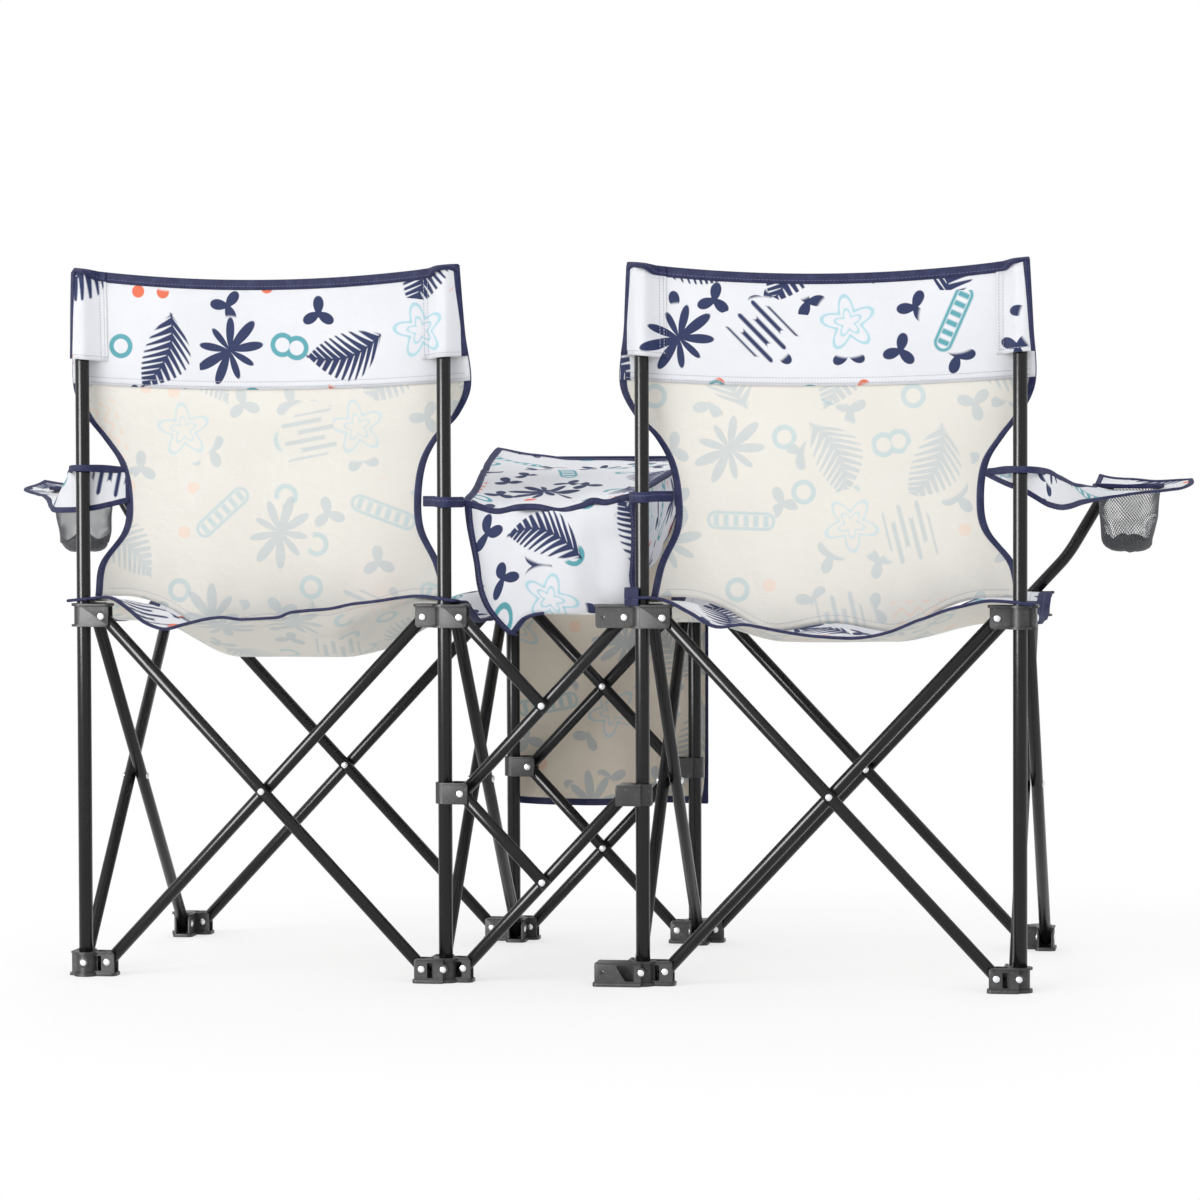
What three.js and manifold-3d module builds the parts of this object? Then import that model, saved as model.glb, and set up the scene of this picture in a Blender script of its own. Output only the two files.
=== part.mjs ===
// Folding camping loveseat: two scissor-frame chairs joined side by side by a soft console.
// Millimetres. +X is the sitter's left, -Y is the way the sitter faces, +Z is up, and z = 0 is the floor.
// The frame is drawn open. Every scissor leans by the same angle, so the whole frame folds as one mechanism.
import * as THREE from 'three';
import Module from 'manifold-3d';
import { mergeVertices } from 'three/addons/utils/BufferGeometryUtils.js';

const wasm = await Module();
wasm.setup();

// Driving dimensions: scissor frame
const panelReach = 372;
const scissorRise = 398;
const chairPivotOffset = 25;
const middlePivotOffset = 20;
const footPivotHeight = 16;
const backPostTop = 806;
const frontPostTop = 598;

// Driving dimensions: tubes and pins
const postRadius = 8;
const tubeRadius = 7;
const tubeWall = 1;
const chairTubeTail = 7.5;
const middleBarTail = 6.5;
const pinRadius = 2.1;
const pinProud = 0.8;
const runningGap = 0.3;
const postSides = 10;
const tubeSides = 8;
const pinSides = 6;
const cornerSteps = 1;
const cupSides = 14;
const flatTolerance = 0.02;

// Driving dimensions: moulded feet, hubs and collars
const bossRadius = 11;
const flangeRadius = 13.5;
const flangeThickness = 2.5;
const forkWall = 2.6;
const forkEnd = 8.5;
const forkCorner = 3;
const forkAbove = 12;
const forkBelow = 12;
const webClearance = 1.6;
const basePlate = 4;
const hubPlate = 3;
const hubHeadroom = 11.5;
const plateLip = 1.5;
const plateCorner = 5;
const longForkReach = 44.5;
const cutOver = 2;

// Driving dimensions: bent armrest tubes
const armStraight = 68;
const armBendRadius = 150;
const armBendAngle = THREE.MathUtils.degToRad(12.4);
const armTop = 85;
const armBendSteps = 3;

// Driving dimensions: backrests
const clothThickness = 2.5;
const clothGap = 0.5;
const backTop = 812;
const backTopSag = 15;
const sleeveLength = 98;
const sleeveRadius = 11.5;
const bandDrop = 130;
const outerWaistInset = 43;
const innerWaistInset = 34;
const backLean = 36;
const backBelly = 7;
const backFootGap = 5;

// Driving dimensions: seats
const seatOverhang = 15;
const leftSeatSag = 68;
const rightSeatSag = 48;
const seatEdgeSag = 34;
const seatSideSag = 26;
const seatFold = 5;
const seatPlateau = 38;
const seatBowl = 110;

// Driving dimensions: armrests and cup holders
const armStrapHeight = 21;
const armOverhang = 182;
const armTipProud = 0.8;
const cupRadius = 39;
const cupBaseRadius = 32;
const cupDepth = 78;
const cupWall = 2;
const cupInset = 36;
const cupBack = 62;
const pocketRadius = 10;
const pocketLength = 24;
const pocketCap = 4.5;

// Driving dimensions: console and front panel
const consoleWall = 3;
const consoleFrontHeight = 606;
const consoleRearHeight = 541;
const consoleRearInset = 27;
const consoleHalfWidth = 96;
const consoleBaseHalfWidth = 68;
const consoleDepth = 128;
const consolePuff = 9;
const consoleLoopHeight = 14;
const lidSag = 5;
const lidEdgeDrop = 2;
const frontPanelBottom = 168;
const frontPanelOverhang = 12;
const frontPanelFold = 4;
const frontSleeveLength = 24;

// The scissor geometry that follows from the driving dimensions
const barLength = Math.hypot(panelReach, scissorRise);
const leanAngle = Math.atan2(panelReach, scissorRise);
const middleReach = panelReach / 2;
const middleRise = scissorRise / 2;
const laneOffset = tubeRadius + runningGap;
const innerX = middleReach / 2 + middlePivotOffset;
const chairSpan = panelReach + 2 * chairPivotOffset;
const outerX = innerX + chairSpan;
const rearY = chairSpan / 2;
const frontY = -chairSpan / 2;
const hubPivotHeight = footPivotHeight + scissorRise;
const collarPivotHeight = footPivotHeight + middleRise;
// A faceted bore is widened until its flats clear the round piece in it
const boreRadius = (postRadius + runningGap) / Math.cos(Math.PI / postSides);
const clothBoreRadius = (postRadius + clothGap) / Math.cos(Math.PI / postSides);
const hubTop = hubPivotHeight + hubHeadroom + hubPlate;
const up = new THREE.Vector3(0, 0, 1);

// Materials
const paintedSteel = new THREE.MeshStandardMaterial({ color: 0x1b1c1f, roughness: 0.28, metalness: 0.6 });
const mouldedPlastic = new THREE.MeshStandardMaterial({ color: 0x26272a, roughness: 0.55, metalness: 0 });
const printedCloth = new THREE.MeshStandardMaterial({ color: 0xece9e6, roughness: 0.85, metalness: 0 });
const clothReverse = new THREE.MeshStandardMaterial({ color: 0xd9d2c6, roughness: 0.88, metalness: 0 });

const loveseat = new THREE.Group();

// Turning three.js geometry into a manifold solid and back
function solid(geometry) {
  const bare = geometry.clone();
  bare.deleteAttribute('normal');
  bare.deleteAttribute('uv');
  const merged = mergeVertices(bare, 1e-4);
  return new wasm.Manifold(new wasm.Mesh({
    numProp: 3,
    vertProperties: new Float32Array(merged.attributes.position.array),
    triVerts: new Uint32Array(merged.index.array),
  }));
}

function geometryOf(manifold) {
  const mesh = manifold.getMesh();
  const geometry = new THREE.BufferGeometry();
  geometry.setAttribute('position', new THREE.BufferAttribute(new Float32Array(mesh.vertProperties), 3));
  geometry.setIndex(new THREE.BufferAttribute(new Uint32Array(mesh.triVerts), 1));
  geometry.computeVertexNormals();
  return geometry;
}

function join(solids) {
  return solids.reduce((whole, piece) => whole.add(piece));
}

function cut(whole, tools) {
  return tools.reduce((rest, tool) => rest.subtract(tool), whole);
}

function addPiece(name, manifold, material) {
  const mesh = new THREE.Mesh(geometryOf(manifold.asOriginal().simplify(flatTolerance)), material);
  mesh.name = name;
  loveseat.add(mesh);
}

// A closed body from vertices and triangles, turned so that its faces point outward
function closedBody(vertices, triangles) {
  let volume = 0;
  for (const [a, b, c] of triangles) {
    volume += vertices[a].dot(new THREE.Vector3().crossVectors(vertices[b], vertices[c]));
  }
  const index = volume > 0 ? triangles.flat() : triangles.map(([a, b, c]) => [a, c, b]).flat();
  const geometry = new THREE.BufferGeometry().setFromPoints(vertices);
  geometry.setIndex(index);
  return solid(geometry);
}

// Skins a chain of rings with the same number of points; a looped chain closes on itself and needs no end caps
function loft(rings, looped) {
  const count = rings[0].length;
  const vertices = rings.flat();
  const triangles = [];
  const links = looped ? rings.length : rings.length - 1;
  for (let r = 0; r < links; r += 1) {
    const next = (r + 1) % rings.length;
    for (let k = 0; k < count; k += 1) {
      const l = (k + 1) % count;
      const [a, b, c, d] = [r * count + k, r * count + l, next * count + l, next * count + k];
      triangles.push([a, b, c], [a, c, d]);
    }
  }
  if (!looped) {
    const last = (rings.length - 1) * count;
    for (let k = 1; k < count - 1; k += 1) {
      triangles.push([0, k + 1, k], [last, last + k, last + k + 1]);
    }
  }
  return closedBody(vertices, triangles);
}

// A sheet of cloth between two grids of points over the same (s, t) square
function sheet(front, back, columns, rows) {
  const vertices = [];
  for (const face of [front, back]) {
    for (let r = 0; r <= rows; r += 1) {
      for (let c = 0; c <= columns; c += 1) {
        vertices.push(face(c / columns, r / rows));
      }
    }
  }
  const width = columns + 1;
  const layer = width * (rows + 1);
  const triangles = [];
  for (let r = 0; r < rows; r += 1) {
    for (let c = 0; c < columns; c += 1) {
      const a = r * width + c;
      const [b, d, e] = [a + 1, a + width, a + width + 1];
      triangles.push([a, b, e], [a, e, d], [layer + a, layer + e, layer + b], [layer + a, layer + d, layer + e]);
    }
  }
  const rim = [];
  for (let c = 0; c < columns; c += 1) rim.push(c);
  for (let r = 0; r < rows; r += 1) rim.push(r * width + columns);
  for (let c = columns; c > 0; c -= 1) rim.push(rows * width + c);
  for (let r = rows; r > 0; r -= 1) rim.push(r * width);
  rim.forEach((a, k) => {
    const b = rim[(k + 1) % rim.length];
    triangles.push([b, a, layer + a], [b, layer + a, layer + b]);
  });
  return closedBody(vertices, triangles);
}

function ringAbout(centre, side, rise, radius, sides, phase = 0) {
  return Array.from({ length: sides }, (_, k) => {
    const turn = (2 * Math.PI * (k + phase)) / sides;
    return centre.clone().addScaledVector(side, radius * Math.cos(turn)).addScaledVector(rise, radius * Math.sin(turn));
  });
}

// A round bar between two points
function rod(from, to, radius, sides) {
  const along = to.clone().sub(from).normalize();
  const helper = Math.abs(along.z) > 0.9 ? new THREE.Vector3(1, 0, 0) : up;
  const side = new THREE.Vector3().crossVectors(helper, along).normalize();
  const rise = new THREE.Vector3().crossVectors(along, side);
  return loft([ringAbout(from, side, rise, radius, sides), ringAbout(to, side, rise, radius, sides)], false);
}

function upright(x, y, low, high, radius, sides) {
  return rod(new THREE.Vector3(x, y, low), new THREE.Vector3(x, y, high), radius, sides);
}

// A hollow tube whose middle line is a flat chain of points
function hollowTube(points, radius, wall, sides, lateral, phase = 0) {
  const outer = [];
  const inner = [];
  points.forEach((point, i) => {
    const before = points[Math.max(i - 1, 0)];
    const after = points[Math.min(i + 1, points.length - 1)];
    const along = after.clone().sub(before).normalize();
    const rise = new THREE.Vector3().crossVectors(along, lateral).normalize();
    outer.push(ringAbout(point, lateral, rise, radius, sides, phase));
    inner.unshift(ringAbout(point, lateral, rise, radius - wall, sides, phase));
  });
  return loft([...outer, ...inner], true);
}

// A frame panel's own axes: u along the panel, z up, w square to both
function panelMatrix(origin, along) {
  const across = new THREE.Vector3().crossVectors(along, up);
  return new THREE.Matrix4().makeBasis(along, up, across).setPosition(origin);
}

// The plain lateral axis of a panel, +X or +Y, whichever way the panel is walked
function lateralAxis(along) {
  return new THREE.Vector3(Math.abs(along.y), Math.abs(along.x), 0);
}

// An outline in (u, z), extruded from one lateral distance to another
function panelPrism(origin, along, outline, lateralLow, lateralHigh) {
  const geometry = new THREE.ExtrudeGeometry(outline, {
    depth: lateralHigh - lateralLow,
    bevelEnabled: false,
    curveSegments: cornerSteps,
  });
  const facing = new THREE.Vector3().crossVectors(along, up).dot(lateralAxis(along));
  geometry.translate(0, 0, facing > 0 ? lateralLow : -lateralHigh);
  geometry.applyMatrix4(panelMatrix(origin, along));
  return solid(geometry);
}

function outlineOf(points) {
  return new THREE.Shape(points.map(([u, z]) => new THREE.Vector2(u, z)));
}

function box(low, high) {
  const size = new THREE.Vector3().subVectors(high, low);
  const geometry = new THREE.BoxGeometry(size.x, size.y, size.z);
  const centre = new THREE.Vector3().addVectors(low, high).multiplyScalar(0.5);
  return solid(geometry.translate(centre.x, centre.y, centre.z));
}

// The eight corners of the frame
const corners = {
  left_outer_rear: { x: outerX, y: rearY, postTop: backPostTop },
  left_inner_rear: { x: innerX, y: rearY, postTop: backPostTop },
  right_inner_rear: { x: -innerX, y: rearY, postTop: backPostTop },
  right_outer_rear: { x: -outerX, y: rearY, postTop: backPostTop },
  left_outer_front: { x: outerX, y: frontY, postTop: 0 },
  left_inner_front: { x: innerX, y: frontY, postTop: frontPostTop },
  right_inner_front: { x: -innerX, y: frontY, postTop: frontPostTop },
  right_outer_front: { x: -outerX, y: frontY, postTop: 0 },
};
for (const corner of Object.values(corners)) {
  corner.footForks = [];
  corner.hubForks = [];
  corner.collarForks = [];
}

// Chair panels: the first tube rises from the first corner's foot to the second corner's hub, in the given lane
const chairPanels = [
  { name: 'left_back', from: 'left_inner_rear', to: 'left_outer_rear', lane: 1, arm: false },
  { name: 'left_inner_side', from: 'left_inner_front', to: 'left_inner_rear', lane: -1, arm: false },
  { name: 'left_outer_side', from: 'left_outer_rear', to: 'left_outer_front', lane: 1, arm: false },
  { name: 'left_front', from: 'left_inner_front', to: 'left_outer_front', lane: 1, arm: true },
  { name: 'right_back', from: 'right_inner_rear', to: 'right_outer_rear', lane: -1, arm: false },
  { name: 'right_inner_side', from: 'right_inner_front', to: 'right_inner_rear', lane: -1, arm: false },
  { name: 'right_outer_side', from: 'right_outer_rear', to: 'right_outer_front', lane: 1, arm: false },
  { name: 'right_front', from: 'right_inner_front', to: 'right_outer_front', lane: -1, arm: true },
];

function cornerPoint(name, height) {
  return new THREE.Vector3(corners[name].x, corners[name].y, height);
}

function directionBetween(from, to) {
  return cornerPoint(to, 0).sub(cornerPoint(from, 0)).normalize();
}

function pivotPoint(corner, along, offset, height) {
  return cornerPoint(corner, height).addScaledVector(along, offset);
}

// A pin through the tube at a pivot, square to the panel, spanning the given lateral distances
function pinBar(pivot, lateral, low, high, radius, along = up) {
  const rise = new THREE.Vector3().crossVectors(along, lateral).normalize();
  const ends = [low, high].map((distance) => pivot.clone().addScaledVector(lateral, distance));
  return loft(ends.map((end) => ringAbout(end, along, rise, radius, pinSides)), false);
}

const pinHoleRadius = (pinRadius + runningGap) / Math.cos(Math.PI / pinSides);
const laneEdge = laneOffset + tubeRadius + runningGap + forkWall + pinProud;
const singleReach = tubeRadius + runningGap + forkWall + pinProud;
const crossReach = laneOffset + tubeRadius + pinProud;

// One straight or bent scissor tube. Each fitting is a pin that stays in this tube, or a hole for its neighbour's pin
function scissorTube(name, start, end, lane, tail, fittings, extension = []) {
  const along = end.clone().sub(start).normalize();
  const lateral = lateralAxis(new THREE.Vector3(along.x, along.y, 0).normalize());
  const shift = lateral.clone().multiplyScalar(lane * laneOffset);
  const points = [start.clone().addScaledVector(along, -tail)];
  if (extension.length) {
    points.push(...extension);
  } else {
    points.push(end.clone().addScaledVector(along, tail));
  }
  let tube = hollowTube(points.map((p) => p.clone().add(shift)), tubeRadius, tubeWall, tubeSides, lateral, 0.5);
  for (const { at, kind } of fittings) {
    const pivot = start.clone().lerp(end, at);
    if (kind === 'hole') {
      const low = lane * laneOffset - tubeRadius - cutOver;
      tube = tube.subtract(pinBar(pivot, lateral, low, low + 2 * (tubeRadius + cutOver), pinHoleRadius, along));
    } else {
      const spans = {
        pin: [lane * laneOffset - singleReach, lane * laneOffset + singleReach],
        crossPin: [-crossReach, crossReach],
        sharedPin: [-laneEdge, laneEdge],
      };
      tube = tube.add(pinBar(pivot, lateral, ...spans[kind], pinRadius, along));
    }
  }
  addPiece(name, tube, paintedSteel);
}

// The armrest tube goes straight on past its hub, bends upward and runs straight to its tip
function armExtension(hubPivot, along) {
  const flat = new THREE.Vector3(along.x, along.y, 0).normalize();
  const points = [];
  let angle = Math.atan2(along.z, along.dot(flat));
  const point = hubPivot.clone().addScaledVector(along, armStraight);
  points.push(point.clone());
  for (let step = 1; step <= armBendSteps; step += 1) {
    const turn = armBendAngle / armBendSteps;
    const chord = 2 * armBendRadius * Math.sin(turn / 2);
    const heading = angle + turn / 2;
    point.addScaledVector(flat, chord * Math.cos(heading)).addScaledVector(up, chord * Math.sin(heading));
    angle += turn;
    points.push(point.clone());
  }
  point.addScaledVector(flat, armTop * Math.cos(angle)).addScaledVector(up, armTop * Math.sin(angle));
  points.push(point.clone());
  return points;
}

const armTips = {};
for (const panel of chairPanels) {
  const along = directionBetween(panel.from, panel.to);
  const back = along.clone().negate();
  const lowStart = pivotPoint(panel.from, along, chairPivotOffset, footPivotHeight);
  const highEnd = pivotPoint(panel.to, back, chairPivotOffset, hubPivotHeight);
  const lowEnd = pivotPoint(panel.to, back, chairPivotOffset, footPivotHeight);
  const highStart = pivotPoint(panel.from, along, chairPivotOffset, hubPivotHeight);
  const rising = highEnd.clone().sub(lowStart).normalize();
  const extension = panel.arm ? armExtension(highEnd, rising) : [];
  if (panel.arm) armTips[panel.name] = { extension, lane: panel.lane };
  const firstPins = [{ at: 0, kind: 'pin' }, { at: 0.5, kind: 'crossPin' }, { at: 1, kind: 'pin' }];
  const secondPins = [{ at: 0, kind: 'pin' }, { at: 0.5, kind: 'hole' }, { at: 1, kind: 'pin' }];
  const firstName = panel.arm ? `${panel.name}_arm_tube` : `${panel.name}_tube_a`;
  scissorTube(firstName, lowStart, highEnd, panel.lane, chairTubeTail, firstPins, extension);
  scissorTube(`${panel.name}_tube_b`, lowEnd, highStart, -panel.lane, chairTubeTail, secondPins);
  const armSlot = panel.arm;
  corners[panel.from].footForks.push({ along, offset: chairPivotOffset, lane: panel.lane, reach: chairPivotOffset });
  corners[panel.from].hubForks.push({ along, offset: chairPivotOffset, lane: -panel.lane, reach: chairPivotOffset });
  corners[panel.to].footForks.push({ along: back, offset: chairPivotOffset, lane: -panel.lane, reach: chairPivotOffset });
  corners[panel.to].hubForks.push({
    along: back, offset: chairPivotOffset, lane: panel.lane, reach: chairPivotOffset, armSlot,
  });
}

// Middle section: bars half as long, two storeys high. The front has full crosses, the rear half crosses with links
const toRight = new THREE.Vector3(-1, 0, 0);
const toLeft = new THREE.Vector3(1, 0, 0);

function middlePoint(corner, height) {
  const along = corners[corner].x > 0 ? toRight : toLeft;
  return pivotPoint(corner, along, middlePivotOffset, height);
}

const storeys = [
  { name: 'lower', low: footPivotHeight, high: collarPivotHeight },
  { name: 'upper', low: collarPivotHeight, high: hubPivotHeight },
];
for (const { name, low, high } of storeys) {
  const atCollar = name === 'upper' ? 'hole' : 'pin';
  const topPin = name === 'upper' ? 'pin' : 'sharedPin';
  scissorTube(`middle_front_${name}_bar_a`, middlePoint('left_inner_front', low), middlePoint('right_inner_front', high),
    -1, middleBarTail, [{ at: 0, kind: atCollar }, { at: 0.5, kind: 'crossPin' }, { at: 1, kind: topPin }]);
  scissorTube(`middle_front_${name}_bar_b`, middlePoint('right_inner_front', low), middlePoint('left_inner_front', high),
    1, middleBarTail, [{ at: 0, kind: atCollar }, { at: 0.5, kind: 'hole' }, { at: 1, kind: topPin }]);
  const rearBottom = middlePoint('left_inner_rear', low);
  const rearTop = middlePoint('right_inner_rear', high);
  const crossing = rearBottom.clone().lerp(rearTop, 0.5);
  scissorTube(`middle_rear_${name}_bar`, rearBottom, rearTop,
    -1, middleBarTail, [{ at: 0, kind: atCollar }, { at: 0.5, kind: 'crossPin' }, { at: 1, kind: 'pin' }]);
  scissorTube(`middle_rear_${name}_link`, crossing, middlePoint('left_inner_rear', high),
    1, middleBarTail, [{ at: 0, kind: 'hole' }, { at: 1, kind: topPin }]);
}
for (const end of ['front', 'rear']) {
  for (const hand of ['left', 'right']) {
    const corner = corners[`${hand}_inner_${end}`];
    const along = hand === 'left' ? toRight : toLeft;
    const atFoot = hand === 'left' ? -1 : 1;
    const longFork = end === 'rear' && hand === 'right';
    const reach = longFork ? longForkReach : middlePivotOffset;
    const atHub = end === 'rear' && hand === 'right' ? -1 : -atFoot;
    corner.footForks.push({ along, offset: middlePivotOffset, lane: atFoot, reach });
    corner.hubForks.push({ along, offset: middlePivotOffset, lane: atHub, reach });
    corner.collarForks.push({ along, offset: middlePivotOffset, lane: 0, reach: middlePivotOffset });
  }
}

// The outline of a fork wall, rounded at its free lower or upper corner
function forkOutline(length, low, high, roundTop) {
  const shape = new THREE.Shape();
  shape.moveTo(0, low);
  if (roundTop) {
    shape.lineTo(length, low);
    shape.lineTo(length, high - forkCorner);
    shape.absarc(length - forkCorner, high - forkCorner, forkCorner, 0, Math.PI / 2, false);
  } else {
    shape.lineTo(length - forkCorner, low);
    shape.absarc(length - forkCorner, low + forkCorner, forkCorner, -Math.PI / 2, 0, false);
    shape.lineTo(length, high);
  }
  shape.lineTo(0, high);
  shape.closePath();
  return shape;
}

// Two walls either side of the tube's lane, with the web that ties them to the boss
function forkSolids(origin, fork, low, high, roundTop) {
  const single = tubeRadius + runningGap;
  const lane = fork.lane * laneOffset;
  const half = fork.lane === 0 ? laneOffset + single : single;
  const wall = forkOutline(fork.reach + forkEnd, low, high, roundTop);
  const tail = fork.offset === middlePivotOffset ? middleBarTail : chairTubeTail;
  const tubeEnd = tail * Math.sin(leanAngle) + tubeRadius * Math.cos(leanAngle);
  const webLength = fork.offset - tubeEnd - webClearance;
  const web = outlineOf([[0, low], [webLength, low], [webLength, high], [0, high]]);
  return [
    panelPrism(origin, fork.along, wall, lane - half - forkWall, lane - half),
    panelPrism(origin, fork.along, wall, lane + half, lane + half + forkWall),
    panelPrism(origin, fork.along, web, lane - half - forkWall, lane + half + forkWall),
  ];
}

function forkHoles(origin, fork, pivotHeight) {
  const lateral = lateralAxis(fork.along);
  const reach = laneOffset + laneEdge + cutOver;
  const offsets = fork.reach > fork.offset ? [fork.offset, fork.reach] : [fork.offset];
  return offsets.map((offset) => {
    const pivot = origin.clone().setZ(pivotHeight).addScaledVector(fork.along, offset);
    return pinBar(pivot, lateral, -reach, reach, pinHoleRadius);
  });
}

// A rounded plate strip under or over a fork
function plateStrip(origin, fork, low, high) {
  const lane = fork.lane * laneOffset;
  const half = tubeRadius + runningGap + forkWall + plateLip;
  const facing = new THREE.Vector3().crossVectors(fork.along, up).dot(lateralAxis(fork.along));
  const length = fork.reach + forkEnd + plateLip;
  const shape = new THREE.Shape();
  shape.moveTo(0, -half);
  shape.lineTo(length - plateCorner, -half);
  shape.absarc(length - plateCorner, -half + plateCorner, plateCorner, -Math.PI / 2, 0, false);
  shape.absarc(length - plateCorner, half - plateCorner, plateCorner, 0, Math.PI / 2, false);
  shape.lineTo(0, half);
  shape.closePath();
  const geometry = new THREE.ExtrudeGeometry(shape, { depth: high - low, bevelEnabled: false, curveSegments: cornerSteps });
  const across = new THREE.Vector3().crossVectors(up, fork.along);
  geometry.applyMatrix4(new THREE.Matrix4().makeBasis(fork.along, across, up));
  const shift = lateralAxis(fork.along).multiplyScalar(lane);
  geometry.translate(origin.x + shift.x, origin.y + shift.y, low);
  return solid(geometry);
}

function foot(name, corner) {
  const origin = new THREE.Vector3(corner.x, corner.y, 0);
  const top = footPivotHeight + forkAbove;
  const parts = [
    upright(corner.x, corner.y, 0, basePlate, flangeRadius, postSides),
    upright(corner.x, corner.y, 0, top, bossRadius, postSides),
    upright(corner.x, corner.y, top - flangeThickness, top, flangeRadius, postSides),
  ];
  for (const fork of corner.footForks) {
    parts.push(plateStrip(origin, fork, 0, basePlate), ...forkSolids(origin, fork, 0, top, true));
  }
  const tools = corner.footForks.flatMap((fork) => forkHoles(origin, fork, footPivotHeight));
  if (corner.postTop > 0) {
    tools.push(upright(corner.x, corner.y, basePlate, top + cutOver, boreRadius, postSides));
  }
  addPiece(`${name}_foot`, cut(join(parts), tools), mouldedPlastic);
}

// The way the armrest tube sweeps through its hub, from the open lean to nearly upright
function armSlotTool(origin, fork, pivotHeight) {
  const clear = tubeRadius + 2 * runningGap;
  const folded = leanAngle / 4;
  const reach = hubTop;
  const low = [-Math.cos(leanAngle) * clear, -Math.sin(leanAngle) * clear];
  const high = [Math.cos(folded) * clear, Math.sin(folded) * clear];
  const fan = outlineOf([
    [fork.offset + low[0], pivotHeight + low[1]],
    [fork.offset + high[0], pivotHeight - high[1]],
    [fork.offset + high[0], pivotHeight + high[1]],
    [fork.offset + high[0] - reach * Math.sin(folded), pivotHeight + high[1] + reach * Math.cos(folded)],
    [fork.offset + low[0] - reach * Math.sin(leanAngle), pivotHeight + low[1] + reach * Math.cos(leanAngle)],
  ]);
  const lane = fork.lane * laneOffset;
  const half = tubeRadius + runningGap;
  return panelPrism(origin, fork.along, fan, lane - half, lane + half);
}

function hub(name, corner) {
  const origin = new THREE.Vector3(corner.x, corner.y, 0);
  const low = hubPivotHeight - forkBelow;
  const plateLow = hubPivotHeight + hubHeadroom;
  const parts = [
    upright(corner.x, corner.y, low, hubTop, bossRadius, postSides),
    upright(corner.x, corner.y, low, low + flangeThickness, flangeRadius, postSides),
    upright(corner.x, corner.y, plateLow, hubTop, flangeRadius, postSides),
  ];
  for (const fork of corner.hubForks) {
    parts.push(...forkSolids(origin, fork, low, fork.armSlot ? hubTop : plateLow, false));
    if (!fork.armSlot) parts.push(plateStrip(origin, fork, plateLow, hubTop));
  }
  const tools = corner.hubForks.flatMap((fork) => forkHoles(origin, fork, hubPivotHeight));
  for (const fork of corner.hubForks) {
    if (fork.armSlot) tools.push(armSlotTool(origin, fork, hubPivotHeight));
  }
  if (corner.postTop > 0) {
    tools.push(upright(corner.x, corner.y, low - cutOver, hubTop + cutOver, boreRadius, postSides));
  }
  addPiece(`${name}_hub`, cut(join(parts), tools), mouldedPlastic);
}

function collar(name, corner) {
  const origin = new THREE.Vector3(corner.x, corner.y, 0);
  const low = collarPivotHeight - forkBelow;
  const high = collarPivotHeight + forkAbove;
  const parts = [upright(corner.x, corner.y, low, high, bossRadius, postSides)];
  for (const fork of corner.collarForks) {
    parts.push(...forkSolids(origin, fork, low, high, true));
  }
  const tools = corner.collarForks.flatMap((fork) => forkHoles(origin, fork, collarPivotHeight));
  tools.push(upright(corner.x, corner.y, low - cutOver, high + cutOver, boreRadius, postSides));
  addPiece(`${name}_collar`, cut(join(parts), tools), mouldedPlastic);
}

function post(name, corner) {
  const line = [basePlate + runningGap, corner.postTop].map((z) => new THREE.Vector3(corner.x, corner.y, z));
  const tube = hollowTube(line, postRadius, tubeWall, postSides, new THREE.Vector3(1, 0, 0));
  addPiece(`${name}_post`, tube, paintedSteel);
}

for (const [name, corner] of Object.entries(corners)) {
  foot(name, corner);
  hub(name, corner);
  if (corner.collarForks.length) collar(name, corner);
  if (corner.postTop > 0) post(name, corner);
}

// Soft goods are drawn for the left chair and mirrored for the right one
function mirroredTo(side, manifold) {
  return side > 0 ? manifold : manifold.mirror([1, 0, 0]);
}

function smoothRamp(t) {
  const c = THREE.MathUtils.clamp(t, 0, 1);
  return c * c * (3 - 2 * c);
}

// Smooth reading of a table of shares: each row is a place from 0 to 1 and the values there
function readShares(rows, place, column) {
  const at = Math.max(rows.findIndex((row) => row[0] >= place), 1);
  const [below, above] = [rows[at - 1], rows[at]];
  const t = smoothRamp((place - below[0]) / (above[0] - below[0]));
  return below[column] + (above[column] - below[column]) * t;
}

// Seat: held flat on the four hubs, sagging between them
const seatHalf = chairSpan / 2;
const seatMiddleX = (innerX + outerX) / 2;
const seatLevel = hubTop + runningGap;

function sagShare(distance) {
  return smoothRamp((seatHalf - seatPlateau - Math.abs(distance)) / seatBowl);
}

function seatHeight(x, y, seatSag) {
  const across = sagShare(x - seatMiddleX);
  const along = sagShare(y);
  const folds = seatFold * Math.cos((3 * Math.PI * (x - seatMiddleX)) / seatHalf) * across * (1 - along);
  const edges = seatEdgeSag * across * (1 - along) + seatSideSag * (1 - across) * along;
  return seatLevel - seatSag * across * along - edges + folds;
}

const seatReach = seatHalf + seatOverhang;
const seatColumns = 10;
const seatRows = 5;

// The last column and row of the grid are as wide as the cloth that lies flat on the hubs
function stretched(share, count, flatShare) {
  const step = share * count;
  const last = count - 1;
  return step <= last ? (step / last) * (1 - flatShare) : 1 - flatShare * (count - step);
}

function sagOn(side) {
  return side > 0 ? leftSeatSag : rightSeatSag;
}

function seatPart(side, yInner, ySign, holes) {
  const flatShare = (seatOverhang + seatPlateau) / seatReach;
  const place = (lift) => (s, t) => {
    const across = Math.sign(s - 0.5) * stretched(Math.abs(2 * s - 1), seatColumns / 2, flatShare);
    const x = seatMiddleX + across * seatReach;
    const y = ySign * (yInner + (seatReach - yInner) * stretched(t, seatRows, flatShare));
    return new THREE.Vector3(x, y, seatHeight(x, y, sagOn(side)) + lift);
  };
  return mirroredTo(side, cut(sheet(place(clothThickness), place(0), seatColumns, seatRows), holes));
}

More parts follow.
